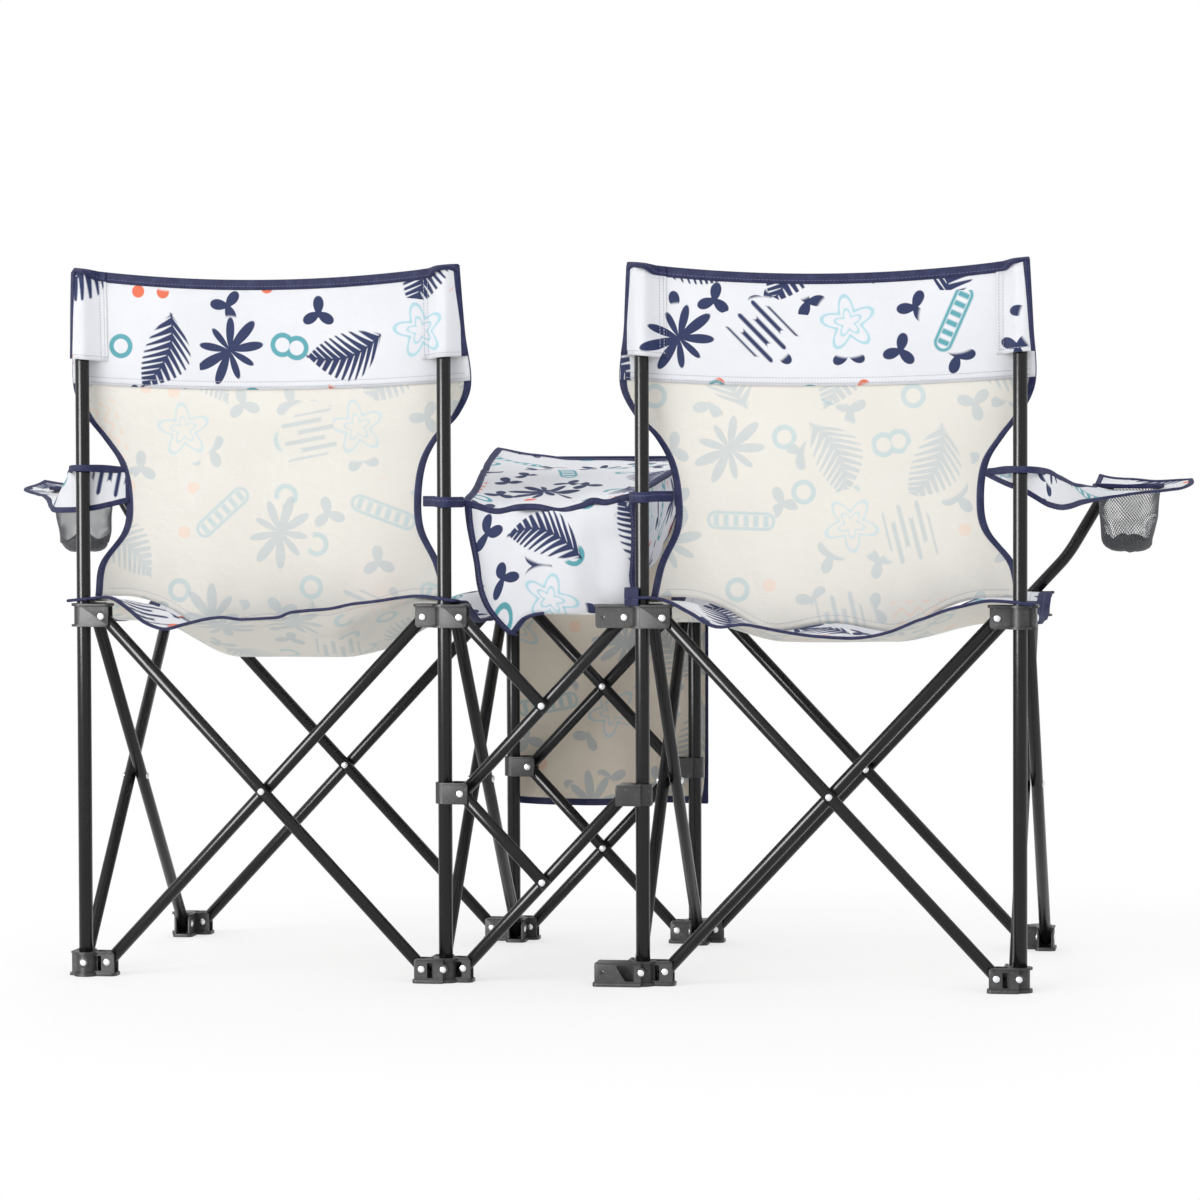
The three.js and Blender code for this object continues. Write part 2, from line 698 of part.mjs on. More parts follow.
// Backrest: a sheet waisted above the seat, with a sleeve over each post and a double band along its top
const backEdgeShares = [
  [0, 0.2, 0.15],
  [0.1, 0.33, 0.44],
  [0.2, 0.86, 0.92],
  [0.29, 1, 1],
  [0.405, 0.86, 0.8],
  [0.485, 0.42, 0.32],
  [0.55, -0.02, -0.35],
  [0.64, -0.35, -0.79],
  [1, -0.21, -0.47],
];
const backFaceY = rearY - postRadius - clothGap;
const backHeight = backTop - seatLevel;

function backPoint(side, s, t, lift) {
  const inner = innerX + innerWaistInset * readShares(backEdgeShares, t, 2);
  const outer = outerX - outerWaistInset * readShares(backEdgeShares, t, 1);
  const x = inner + (outer - inner) * s;
  const arch = 4 * s * (1 - s);
  const lean = backLean * (1 - t) ** 1.3;
  const y = backFaceY - lean + backBelly * arch * (1 - t) - lift;
  const foot = seatHeight(x, y, sagOn(side)) + clothThickness + backFootGap;
  const top = backTop - backTopSag * arch;
  return new THREE.Vector3(x, y, foot + (top - foot) * t);
}

function backrest(side) {
  const main = sheet((s, t) => backPoint(side, s, t, 0), (s, t) => backPoint(side, s, t, clothThickness), 6, 11);
  const bandStart = 1 - bandDrop / backHeight;
  const bandPlace = (lift) => (s, t) => {
    const inset = sleeveRadius / chairSpan;
    return backPoint(side, inset + (1 - 2 * inset) * s, bandStart + (1 - bandStart) * t, lift);
  };
  const band = sheet(bandPlace(-clothThickness), bandPlace(clothThickness / 2), 6, 2);
  const parts = [main, band];
  const bores = [];
  for (const x of [innerX, outerX]) {
    const low = backPostTop - sleeveLength;
    parts.push(upright(x, rearY, low, backPostTop + clothThickness, sleeveRadius, tubeSides));
    bores.push(upright(x, rearY, low - cutOver, backPostTop + runningGap, clothBoreRadius, postSides));
  }
  return mirroredTo(side, cut(join(parts), bores));
}

// Outer armrest: a strap that leaves the back post upright, twists and widens into a flat rest with a cup holder
const armShares = [
  { forward: 0, inner: 0.055, outer: 0.055, innerRise: 0.5, outerRise: -0.5 },
  { forward: 0.14, inner: 0.115, outer: 0.137, innerRise: 0.45, outerRise: -1.4 },
  { forward: 0.33, inner: 0.203, outer: 0.247, innerRise: 0.2, outerRise: -1.35 },
  { forward: 0.52, inner: 0.291, outer: 0.423, innerRise: -0.1, outerRise: -0.75 },
  { forward: 0.67, inner: 0.346, outer: 0.731, innerRise: -0.2, outerRise: -0.4 },
  { forward: 0.78, inner: 0.363, outer: 0.951, innerRise: -0.25, outerRise: -0.25 },
  { forward: 0.89, inner: 0.374, outer: 1.0, innerRise: 0, outerRise: -0.05 },
  { forward: 1, inner: 0.385, outer: 0.995, innerRise: 0.5, outerRise: 0.25 },
];
const armLevel = armTips.left_front.extension.at(-1).z - armTipProud;
const armLength = chairSpan + seatOverhang;
const cupCentre = new THREE.Vector3(outerX + armOverhang - cupInset - cupRadius, frontY + cupBack, 0);

function armPoint(s, t, lift) {
  const row = Math.min(t * (armShares.length - 1), armShares.length - 1);
  const [below, above] = [armShares[Math.floor(row)], armShares[Math.ceil(row)]];
  const between = (key) => below[key] + (above[key] - below[key]) * (row - Math.floor(row));
  const x = outerX + armOverhang * (between('inner') + (between('outer') - between('inner')) * s);
  const rise = between('innerRise') + (between('outerRise') - between('innerRise')) * s;
  const flatness = smoothRamp((t - 0.3) / 0.4);
  const level = armLevel + armStrapHeight * rise;
  return new THREE.Vector3(x + lift * (1 - flatness), rearY - armLength * between('forward'), level + lift * flatness);
}

function armrest(side, tip) {
  const rest = sheet((s, t) => armPoint(s, t, clothThickness), (s, t) => armPoint(s, t, 0), 3, 14);
  const rimLevel = armLevel;
  const cupLow = rimLevel - cupDepth;
  const cup = loft([
    ringAbout(cupCentre.clone().setZ(cupLow), toLeft, new THREE.Vector3(0, 1, 0), cupBaseRadius, cupSides),
    ringAbout(cupCentre.clone().setZ(rimLevel), toLeft, new THREE.Vector3(0, 1, 0), cupRadius, cupSides),
  ], false);
  const hollow = loft([
    ringAbout(cupCentre.clone().setZ(cupLow + cupWall), toLeft, new THREE.Vector3(0, 1, 0), cupBaseRadius - cupWall, cupSides),
    ringAbout(cupCentre.clone().setZ(rimLevel + cupDepth), toLeft, new THREE.Vector3(0, 1, 0), cupRadius - cupWall, cupSides),
  ], false);
  const loopHalf = armStrapHeight / 2;
  const loop = upright(outerX, rearY, armLevel - loopHalf, armLevel + loopHalf, sleeveRadius, tubeSides);
  const bore = upright(outerX, rearY, armLevel - armLevel / 2, armLevel * 2, clothBoreRadius, postSides);
  const [before, end] = tip.extension.slice(-2).map((p) => p.clone().setX(Math.abs(p.x)));
  const axis = end.clone().sub(before).normalize();
  const shift = new THREE.Vector3(0, tip.lane * laneOffset, 0);
  const mouth = end.clone().addScaledVector(axis, -pocketLength).add(shift);
  const closedEnd = end.clone().addScaledVector(axis, pocketCap).add(shift);
  const pocket = rod(mouth, closedEnd, pocketRadius, tubeSides);
  const tubeEnd = end.clone().addScaledVector(axis, runningGap).add(shift);
  const roomRadius = (tubeRadius + clothGap) / Math.cos(Math.PI / tubeSides);
  const tubeRoom = rod(before.clone().add(shift), tubeEnd, roomRadius, tubeSides);
  const whole = cut(join([rest, cup, loop, pocket]), [hollow, bore, tubeRoom]);
  return mirroredTo(side, whole);
}

const seatBores = (low) => [innerX, outerX].filter((x) => low > 0 || x === innerX).map((x) => (
  upright(x, low > 0 ? rearY : frontY, 0, backTop, clothBoreRadius, postSides)));

for (const [hand, side] of [['left', 1], ['right', -1]]) {
  const tip = armTips[`${hand}_front`];
  const seatSplit = runningGap / 2;
  const armCorner = corners.left_outer_front;
  const armWay = armSlotTool(
    new THREE.Vector3(armCorner.x, armCorner.y, 0),
    { along: toRight, offset: chairPivotOffset, lane: tip.lane },
    hubPivotHeight,
  );
  addPiece(`${hand}_seat_rear_half`, seatPart(side, seatSplit, 1, seatBores(1)), printedCloth);
  addPiece(`${hand}_seat_front_half`, seatPart(side, seatSplit, -1, [...seatBores(0), armWay]), printedCloth);
  addPiece(`${hand}_backrest`, backrest(side), clothReverse);
  addPiece(`${hand}_armrest`, armrest(side, tip), printedCloth);
}

// Console: a soft bag under a sloping lid, open toward the front, resting on the front posts and looped round the rear ones
const consoleRearY = rearY - consoleRearInset;
const consoleFrontY = frontY + bossRadius + laneOffset;

function consoleRing(y, inset) {
  const forward = (consoleRearY - y) / (consoleRearY - consoleFrontY);
  const top = consoleRearHeight + (consoleFrontHeight - consoleRearHeight) * forward;
  const half = consoleHalfWidth - inset;
  const baseHalf = consoleBaseHalfWidth - inset;
  const puff = consolePuff * 4 * forward * (1 - forward);
  const low = top - consoleDepth - puff + inset;
  const high = top - inset;
  return [
    [half, high - lidEdgeDrop], [half * 0.55, high - lidEdgeDrop], [0, high - lidSag], [-half * 0.55, high - lidEdgeDrop],
    [-half, high - lidEdgeDrop], [-half * 0.97, (high + low) / 2], [-baseHalf, low + consolePuff],
    [-baseHalf * 0.6, low], [baseHalf * 0.6, low], [baseHalf, low + consolePuff], [half * 0.97, (high + low) / 2],
  ].map(([x, z]) => new THREE.Vector3(x, y, z));
}

function consoleBag() {
  const stations = [0, 0.25, 0.5, 0.75, 1].map((share) => consoleRearY + (consoleFrontY - consoleRearY) * share);
  const shell = loft(stations.map((y) => consoleRing(y, 0)), false);
  const ends = [consoleRearY - consoleWall, ...stations.slice(1, -1), consoleFrontY - consoleWall];
  const hollow = loft(ends.map((y) => consoleRing(y, consoleWall)), false);
  const parts = [];
  const bores = [];
  const lowZ = frontPostTop + runningGap;
  for (const x of [innerX, -innerX]) {
    const outward = Math.sign(x);
    const reach = x + outward * flangeRadius;
    const root = outward * consoleHalfWidth * 0.8;
    const patchLow = new THREE.Vector3(Math.min(root, reach), frontY - flangeRadius, lowZ);
    const patchHigh = new THREE.Vector3(Math.max(root, reach), consoleFrontY + consolePuff, lowZ + 2 * clothThickness);
    parts.push(box(patchLow, patchHigh));
    const loopLow = consoleRearHeight - consoleLoopHeight / 2;
    const loopHigh = loopLow + consoleLoopHeight;
    parts.push(upright(x, rearY, loopLow, loopHigh, sleeveRadius, tubeSides));
    bores.push(upright(x, rearY, loopLow - cutOver, loopHigh + cutOver, clothBoreRadius, postSides));
    const strapLow = new THREE.Vector3(Math.min(root, x), consoleRearY - 2 * clothThickness, loopLow);
    const strapHigh = new THREE.Vector3(Math.max(root, x), consoleRearY, loopHigh);
    const tieLow = new THREE.Vector3(x - clothThickness, consoleRearY - 2 * clothThickness, loopLow);
    const tieHigh = new THREE.Vector3(x + clothThickness, rearY - postRadius, loopHigh);
    parts.push(box(strapLow, strapHigh), box(tieLow, tieHigh));
  }
  const bag = shell.subtract(hollow);
  return cut(join([bag, ...parts]), bores);
}
addPiece('console_bag', consoleBag(), printedCloth);

// Front panel: hangs in front of the middle scissors from sleeves on the inner front posts
const frontPanelY = frontY - laneOffset - tubeRadius - forkWall - 2 * runningGap - pinProud - clothThickness;

function frontPanel() {
  const half = innerX + frontPanelOverhang;
  const top = frontPostTop - clothThickness;
  const place = (lift) => (s, t) => {
    const z = frontPanelBottom + (top - frontPanelBottom) * t;
    const wave = frontPanelFold * Math.sin(5 * Math.PI * s) * (1 - t) ** 2;
    return new THREE.Vector3((2 * s - 1) * half, frontPanelY - frontPanelFold + wave + lift, z);
  };
  const parts = [sheet(place(0), place(-clothThickness), 10, 3)];
  const bores = [];
  for (const x of [innerX, -innerX]) {
    const low = frontPostTop - frontSleeveLength;
    parts.push(upright(x, frontY, low, top, sleeveRadius, tubeSides));
    const webLow = new THREE.Vector3(x - clothThickness, frontPanelY - frontPanelFold - clothThickness / 2, low);
    const webHigh = new THREE.Vector3(x + clothThickness, frontY - postRadius, top);
    parts.push(box(webLow, webHigh));
    bores.push(upright(x, frontY, low - cutOver, top + cutOver, clothBoreRadius, postSides));
  }
  return cut(join(parts), bores);
}
addPiece('front_panel', frontPanel(), clothReverse);

// The origin sits on the floor, under the middle of the whole loveseat
const extent = new THREE.Box3().setFromObject(loveseat);
const middle = extent.getCenter(new THREE.Vector3());
for (const mesh of loveseat.children) mesh.geometry.translate(-middle.x, -middle.y, -extent.min.z);

export default loveseat;
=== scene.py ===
import math
from collections import namedtuple
from functools import partial

import bmesh
import bpy
from mathutils import Matrix, Vector, noise


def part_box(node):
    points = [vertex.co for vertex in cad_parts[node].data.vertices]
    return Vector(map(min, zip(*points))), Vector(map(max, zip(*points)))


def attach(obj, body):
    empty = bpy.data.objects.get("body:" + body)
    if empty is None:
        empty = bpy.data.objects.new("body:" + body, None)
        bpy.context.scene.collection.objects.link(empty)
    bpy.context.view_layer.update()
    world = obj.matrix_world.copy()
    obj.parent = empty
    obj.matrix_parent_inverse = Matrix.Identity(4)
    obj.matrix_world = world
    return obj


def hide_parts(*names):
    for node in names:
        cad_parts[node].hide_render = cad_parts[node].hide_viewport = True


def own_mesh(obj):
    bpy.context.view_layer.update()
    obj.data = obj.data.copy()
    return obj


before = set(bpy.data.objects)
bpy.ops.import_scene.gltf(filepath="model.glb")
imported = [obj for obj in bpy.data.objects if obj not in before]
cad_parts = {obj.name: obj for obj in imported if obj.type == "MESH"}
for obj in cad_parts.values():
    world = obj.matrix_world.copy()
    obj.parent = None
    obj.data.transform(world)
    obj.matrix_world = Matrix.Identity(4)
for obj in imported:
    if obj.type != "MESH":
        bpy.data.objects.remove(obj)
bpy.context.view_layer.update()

MM = 0.001
X_AXIS, Y_AXIS, UP = Vector((1, 0, 0)), Vector((0, 1, 0)), Vector((0, 0, 1))
HANDS = (("left", 1), ("right", -1))

# Sizes shared with the frame
PANEL_REACH = 372
SCISSOR_RISE = 398
CHAIR_PIVOT = 25
MIDDLE_PIVOT = 20
FOOT_PIVOT_Z = 16
POST_RADIUS = 8
TUBE_RADIUS = 7
CHAIR_TAIL = 7.5
MIDDLE_TAIL = 6.5
RUNNING_GAP = 0.3
FORK_WALL = 2.6
FORK_END = 8.5
BACK_POST_TOP = 806
FRONT_POST_TOP = 598
BASE_PLATE = 4
BACK_TOP = 812
LANE = TUBE_RADIUS + RUNNING_GAP
PIN_REACH = LANE + FORK_WALL
INNER_X = PANEL_REACH / 4 + MIDDLE_PIVOT
CHAIR_SPAN = PANEL_REACH + 2 * CHAIR_PIVOT
OUTER_X = INNER_X + CHAIR_SPAN
HUB_PIVOT_Z = FOOT_PIVOT_Z + SCISSOR_RISE
COLLAR_PIVOT_Z = FOOT_PIVOT_Z + SCISSOR_RISE / 2
HUB_TOP = HUB_PIVOT_Z + 14.5
POST_LOW, POST_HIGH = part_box("left_inner_rear_post")
REAR_Y = (POST_LOW.y + POST_HIGH.y) / 2 / MM
FRONT_Y = REAR_Y - CHAIR_SPAN
MIDDLE_Y = (REAR_Y + FRONT_Y) / 2
LEAN = math.atan2(PANEL_REACH, SCISSOR_RISE)


# Number helpers
def mix(a, b, share):
    return a + (b - a) * share


def clamp(value):
    return max(0.0, min(1.0, value))


def ramp(value):
    value = clamp(value)
    return value * value * (3 - 2 * value)


def arch(share):
    """0 at both ends and 1 in the middle."""
    return 4 * share * (1 - share)


def bell(value, centre, width):
    return math.exp(-(((value - centre) / width) ** 2))


def wobble(x, y, z):
    return noise.noise(Vector((x, y, z)))


def read_table(rows, place, column=1):
    """A smooth curve through the rows' values; the first column is the place from 0 to 1."""
    last = len(rows) - 1
    at = max(next((i for i, row in enumerate(rows) if row[0] >= place), last), 1)
    before, start, end, after = rows[max(at - 2, 0)], rows[at - 1], rows[at], rows[min(at + 1, last)]
    width = end[0] - start[0]
    t = clamp((place - start[0]) / width)
    slope_start = (end[column] - before[column]) / (end[0] - before[0]) * width
    slope_end = (after[column] - start[column]) / (after[0] - start[0]) * width
    t2, t3 = t * t, t * t * t
    return (
        (2 * t3 - 3 * t2 + 1) * start[column]
        + (t3 - 2 * t2 + t) * slope_start
        + (3 * t2 - 2 * t3) * end[column]
        + (t3 - t2) * slope_end
    )


# Mesh helpers
def link(name, data):
    made = bpy.data.objects.new(name, data)
    bpy.context.scene.collection.objects.link(made)
    return made


def make_object(name, vertices, faces, materials, slots=None, uvs=None, sharp=None):
    mesh = bpy.data.meshes.new(name)
    mesh.from_pydata([tuple(c * MM for c in v) for v in vertices], [], faces)
    for material in materials:
        mesh.materials.append(material)
    if slots:
        mesh.polygons.foreach_set("material_index", slots)
    if uvs:
        layer = mesh.uv_layers.new(name="cloth")
        layer.data.foreach_set("uv", [value for loop in mesh.loops for value in uvs[loop.vertex_index]])
    mesh.polygons.foreach_set("use_smooth", [True] * len(faces))
    mesh.update()
    if sharp:
        mesh.set_sharp_from_angle(angle=math.radians(sharp))
    return link(name, mesh)


def tidy_normals(piece):
    bm = bmesh.new()
    bm.from_mesh(piece.data)
    bmesh.ops.recalc_face_normals(bm, faces=bm.faces)
    bm.to_mesh(piece.data)
    bm.free()
    return piece


def join_pieces(parts):
    """Several vertex and face lists as one: each part is (vertices, faces, slot, uvs)."""
    vertices, faces, slots, uvs = [], [], [], []
    for part_vertices, part_faces, slot, part_uvs in parts:
        start = len(vertices)
        vertices.extend(part_vertices)
        faces.extend([tuple(i + start for i in face) for face in part_faces])
        slots.extend([slot] * len(part_faces))
        uvs.extend(part_uvs if part_uvs else [(v[0] * MM, v[2] * MM) for v in part_vertices])
    return vertices, faces, slots, uvs


def skin(rings, closed=False):
    """Faces over a chain of rings of equal length, which ends in caps or closes on itself."""
    count = len(rings[0])
    vertices = [point for ring in rings for point in ring]
    faces = []
    for r in range(len(rings) if closed else len(rings) - 1):
        here, there = r * count, (r + 1) % len(rings) * count
        for k in range(count):
            after = (k + 1) % count
            faces.append((here + k, here + after, there + after, there + k))
    if not closed:
        faces.append(tuple(reversed(range(count))))
        faces.append(tuple(range(len(vertices) - count, len(vertices))))
    return vertices, faces


def ring(centre, side, rise, radius, sides):
    turns = [k * math.tau / sides for k in range(sides)]
    return [centre + side * (radius * math.cos(turn)) + rise * (radius * math.sin(turn)) for turn in turns]


# Materials
class Value:
    """One output of a shader node, for sums and products."""

    def __init__(self, graph, socket):
        self.graph, self.socket = graph, socket

    def __add__(self, other):
        return self.graph.math("ADD", self, other)

    def __sub__(self, other):
        return self.graph.math("SUBTRACT", self, other)

    def __rsub__(self, other):
        return self.graph.math("SUBTRACT", other, self)

    def __mul__(self, other):
        return self.graph.math("MULTIPLY", self, other)

    def __abs__(self):
        return self.graph.math("ABSOLUTE", self)


class Graph:
    """Builds a node tree in code."""

    def __init__(self, tree):
        self.tree = tree

    def feed(self, socket, value):
        if isinstance(value, Value):
            self.tree.links.new(value.socket, socket)
        elif value is not None:
            socket.default_value = value

    def outputs(self, keys, kind, inputs, **settings):
        """A new node with its inputs by name or number, and those of its outputs that the keys name."""
        made = self.tree.nodes.new(kind)
        for key, value in settings.items():
            setattr(made, key, value)
        for key, value in inputs.items():
            self.feed(made.inputs[key], value)
        return [Value(self, made.outputs[key]) for key in keys]

    def first(self, kind, inputs, **settings):
        return self.outputs([0], kind, inputs, **settings)[0]

    def math(self, operation, *values, clamped=False):
        return self.first("ShaderNodeMath", dict(enumerate(values)), operation=operation, use_clamp=clamped)

    def vector(self, operation, inputs):
        return self.first("ShaderNodeVectorMath", inputs, operation=operation)

    def most(self, value, *others):
        for other in others:
            value = self.math("MAXIMUM", value, other)
        return value

    def colour(self, share, a, b):
        return self.outputs([2], "ShaderNodeMix", {0: share, 6: a, 7: b}, data_type="RGBA")[0]

    def step(self, value, low, high):
        return self.first("ShaderNodeMapRange", {0: value, 1: low, 2: high}, interpolation_type="SMOOTHSTEP")

    def noise(self, place, scale, detail, roughness=0.5):
        given = {"Vector": place, "Scale": scale, "Detail": detail, "Roughness": roughness}
        return self.first("ShaderNodeTexNoise", given)

    def bump(self, height, distance, normal=None):
        given = {"Distance": distance, "Strength": 1.0, "Height": height, "Normal": normal}
        return self.first("ShaderNodeBump", given)

    def on_cloth(self):
        return self.first("ShaderNodeUVMap", {}, uv_map="cloth")

    def on_object(self):
        return self.outputs(["Object"], "ShaderNodeTexCoord", {})[0]

    def split(self, vector):
        return self.outputs([0, 1], "ShaderNodeSeparateXYZ", {0: vector})

    def paint(self, colour, normal, roughness=None):
        shader = self.tree.nodes["Principled BSDF"]
        for name, value in (("Base Color", colour), ("Normal", normal), ("Roughness", roughness)):
            self.feed(shader.inputs[name], value)


def rgba(red, green, blue):
    return (red, green, blue, 1.0)


def material(name, roughness, specular=0.5, sheen=0.0, metallic=0.0):
    made = bpy.data.materials.new(name)
    made.use_nodes = True
    sockets = made.node_tree.nodes["Principled BSDF"].inputs
    sockets["Roughness"].default_value = roughness
    sockets["Specular IOR Level"].default_value = specular
    sockets["Sheen Weight"].default_value = sheen
    sockets["Metallic"].default_value = metallic
    return made, Graph(made.node_tree)


CLOTH_WHITE = rgba(0.84, 0.85, 0.89)
CLOTH_BEIGE = rgba(0.85, 0.825, 0.765)
PANEL_BEIGE = rgba(0.89, 0.80, 0.675)
INKS = {
    "Pale": rgba(0.46, 0.70, 0.77),
    "Teal": rgba(0.12, 0.40, 0.46),
    "Coral": rgba(0.84, 0.19, 0.10),
    "Navy": rgba(0.030, 0.042, 0.118),
}
# The inks as they look through the cloth from its back
FAINT_INKS = {
    "Pale": rgba(0.30, 0.66, 0.83),
    "Teal": rgba(0.10, 0.47, 0.60),
    "Coral": rgba(1.0, 0.58, 0.37),
    "Navy": rgba(0.19, 0.37, 0.49),
}
# The part of all cells that each motif takes, and of the small cells that each small mark takes
MOTIFS = {
    "spray": (-1.0, 0.36), "burst": (0.36, 0.62), "bars": (0.62, 0.70), "wave": (0.70, 0.78),
    "star": (0.78, 0.87), "pod": (0.87, 2.0),
}
MARKS = {"petals": (-1.0, 0.46), "ring": (0.46, 0.7), "dot": (0.7, 0.9)}
# Cells to a metre of cloth, and how soft the print's edges are as a share of a cell
MOTIF_CELLS, MARK_CELLS, INK_EDGE = 9.8, 18.0, 0.012
# Threads, binding ribs and binding stitches, in metres along the cloth
THREAD_PITCH, RIB_PITCH, DASH_PITCH, DASH_INSET, DASH_HALF = 0.0011, 0.0012, 0.0042, 0.0068, 0.0005


def print_group():
    """Leaf sprays, leaf bursts, bars, waves, stars and pods, strewn over cloth measured in metres."""
    tree = bpy.data.node_groups.new("strewn_print", "ShaderNodeTree")
    tree.interface.new_socket("Cloth", in_out="INPUT", socket_type="NodeSocketVector")
    for name in INKS:
        tree.interface.new_socket(name, in_out="OUTPUT", socket_type="NodeSocketFloat")
    graph = Graph(tree)
    cloth = graph.first("NodeGroupInput", {})
    inks = tree.nodes.new("NodeGroupOutput").inputs

    def cells(scale, offset, randomness):
        """Place within the cell, turned at random, its angle and radius there, and the cell's random kind."""
        place = graph.vector("ADD", {0: graph.vector("SCALE", {0: cloth, 3: scale}), 1: offset})
        colour, centre = graph.outputs(
            ["Color", "Position"],
            "ShaderNodeTexVoronoi",
            {"Vector": place, "Scale": 1.0, "Randomness": randomness},
            voronoi_dimensions="2D",
            feature="F1",
        )
        turn, kind = graph.outputs([0, 1], "ShaderNodeSeparateColor", {0: colour})
        given = {"Vector": graph.vector("SUBTRACT", {0: place, 1: centre}), "Angle": turn * math.tau}
        x, y = graph.split(graph.first("ShaderNodeVectorRotate", given, rotation_type="Z_AXIS"))
        return x, y, graph.math("ARCTAN2", y, x), graph.math("SQRT", x * x + y * y), kind

    def sine(value):
        return graph.math("SINE", value)

    def cosine(value):
        return graph.math("COSINE", value)

    def below(value, limit):
        return graph.step(limit - value, -INK_EDGE, INK_EDGE)

    def chosen(value, limits):
        return graph.math("GREATER_THAN", value, limits[0]) * graph.math("LESS_THAN", value, limits[1])

    def saw(value, count):
        """Distance from the middle of each of the equal steps, 0 to 0.5."""
        return abs(graph.math("FRACT", value * count) - 0.5)

    x, y, angle, radius, kind = cells(MOTIF_CELLS, (3.7, 1.3, 0), 0.5)

    # A leaf spray: slanting leaflets either side of a bent stem
    wide = abs(y - x * x * 0.7)
    reach = (1.0 - x * x * 5.2) * 0.27
    leaflet = saw(x - wide * 0.75, 12.0) * 0.12
    leaflets = below(wide, reach) * below(leaflet, (0.46 - wide * 1.2) * 0.12)
    stem = below(wide, 0.016) * below(abs(x), 0.45)
    spray = graph.most(leaflets, stem) * chosen(kind, MOTIFS["spray"])

    # A burst of nine pointed leaves
    lobes = graph.math("POWER", abs(cosine(angle * 4.5)), 1.3)
    edge = lobes * 0.29 + 0.08 + sine(angle * 2.0) * 0.06
    burst = below(radius, edge) * chosen(kind, MOTIFS["burst"])

    # A stack of uneven bars
    ends = below(abs(x + sine(y * 31.0) * 0.09), 0.23)
    bars = ends * below(abs(y), 0.25) * below(saw(y, 10.0) * 0.1, 0.024) * chosen(kind, MOTIFS["bars"])

    # Three wave lines one above the other
    crest = saw(y - sine(x * 34.0) * 0.042, 7.0) * (1 / 7)
    wave = below(crest, 0.017) * below(abs(y), 0.2) * below(abs(x), 0.34) * chosen(kind, MOTIFS["wave"])

    # A five-pointed star drawn as two lines
    tips = cosine(angle * 5.0) * 0.075 + 0.22
    outer_line, inner_line = below(abs(radius - tips), 0.02), below(abs(radius - tips * 0.5), 0.014)
    star = graph.most(outer_line, inner_line) * chosen(kind, MOTIFS["star"])

    # A long pod with seeds
    long_x = graph.most(abs(x) - 0.28, 0.0)
    lens = graph.math("SQRT", long_x * long_x + y * y)
    seeds = below(lens, 0.062) * below(saw(x, 9.0) * 0.1, 0.026)
    pod = graph.most(below(abs(lens - 0.085), 0.017), seeds) * chosen(kind, MOTIFS["pod"])

    # Small marks in the room between
    room = graph.step(radius, 0.36, 0.4)
    _, _, angle, radius, kind = cells(MARK_CELLS, (11.2, 7.9, 0), 0.8)
    petals = below(radius, cosine(angle * 3.0) * 0.14 + 0.22) * chosen(kind, MARKS["petals"]) * room
    ring_mark = below(abs(radius - 0.2), 0.05) * chosen(kind, MARKS["ring"]) * room
    dot = below(radius, 0.13) * chosen(kind, MARKS["dot"]) * room

    graph.feed(inks["Navy"], graph.most(spray, burst, bars, petals))
    graph.feed(inks["Teal"], graph.most(pod, ring_mark))
    graph.feed(inks["Pale"], star)
    graph.feed(inks["Coral"], graph.most(wave, dot))
    return tree


STREWN = print_group()


def cloth_material(name, base, inks, strength=1.0):
    """Plain weave with the print on it; strength below 1 is the print seen through from the back."""
    made, graph = material(name, 0.82, specular=0.2, sheen=0.06)
    place = graph.on_cloth()
    drift = graph.step(graph.noise(place, 7.0, 3.0), 0.3, 0.75)
    shaded = graph.colour(drift, base, rgba(*(channel * 0.95 for channel in base[:3])))
    fade = graph.noise(place, 60.0, 4.0) * 0.35 + 0.8
    masks = graph.outputs(inks, "ShaderNodeGroup", {0: place}, node_tree=STREWN)
    for mask, ink in zip(masks, inks.values()):
        share = mask * strength
        if strength < 1:
            share = graph.math("MULTIPLY", share, fade, clamped=True)
        shaded = graph.colour(share, shaded, ink)
    along, across = graph.split(place)
    turns = math.tau / THREAD_PITCH
    weave = graph.math("SINE", along * turns) * graph.math("SINE", across * turns)
    crease = graph.bump(graph.noise(place, 22.0, 5.0, 0.6), 0.003)
    graph.paint(shaded, graph.bump(weave, 0.00012, crease))
    return made


def binding_material():
    """Ribbed tape with a row of stitches near its inner edge."""
    made, graph = material("navy_binding", 0.75, specular=0.2, sheen=0.03)
    place = graph.on_cloth()
    along, across = graph.split(place)
    dash = graph.math("LESS_THAN", graph.math("FRACT", along * (1 / DASH_PITCH)), 0.68)
    stitch = dash * graph.math("LESS_THAN", abs(across - DASH_INSET), DASH_HALF)
    worn = graph.step(graph.noise(place, 90.0, 4.0), 0.35, 0.8)
    base = graph.colour(worn, rgba(0.021, 0.024, 0.074), rgba(0.038, 0.044, 0.112))
    ribs = graph.math("SINE", along * (math.tau / RIB_PITCH))
    height = ribs * 0.3 + stitch * -1.5
    graph.paint(graph.colour(stitch, base, rgba(0.09, 0.10, 0.2)), graph.bump(height, 0.0002))
    return made


def steel_material():
    made, graph = material("painted_steel", 0.2, specular=0.3)
    place = graph.on_object()
    cloudy = graph.noise(place, 35.0, 4.0)
    colour = graph.colour(cloudy, rgba(0.004, 0.004, 0.005), rgba(0.009, 0.009, 0.010))
    graph.paint(colour, graph.bump(graph.noise(place, 30.0, 2.0), 0.00001), cloudy * 0.08 + 0.2)
    return made


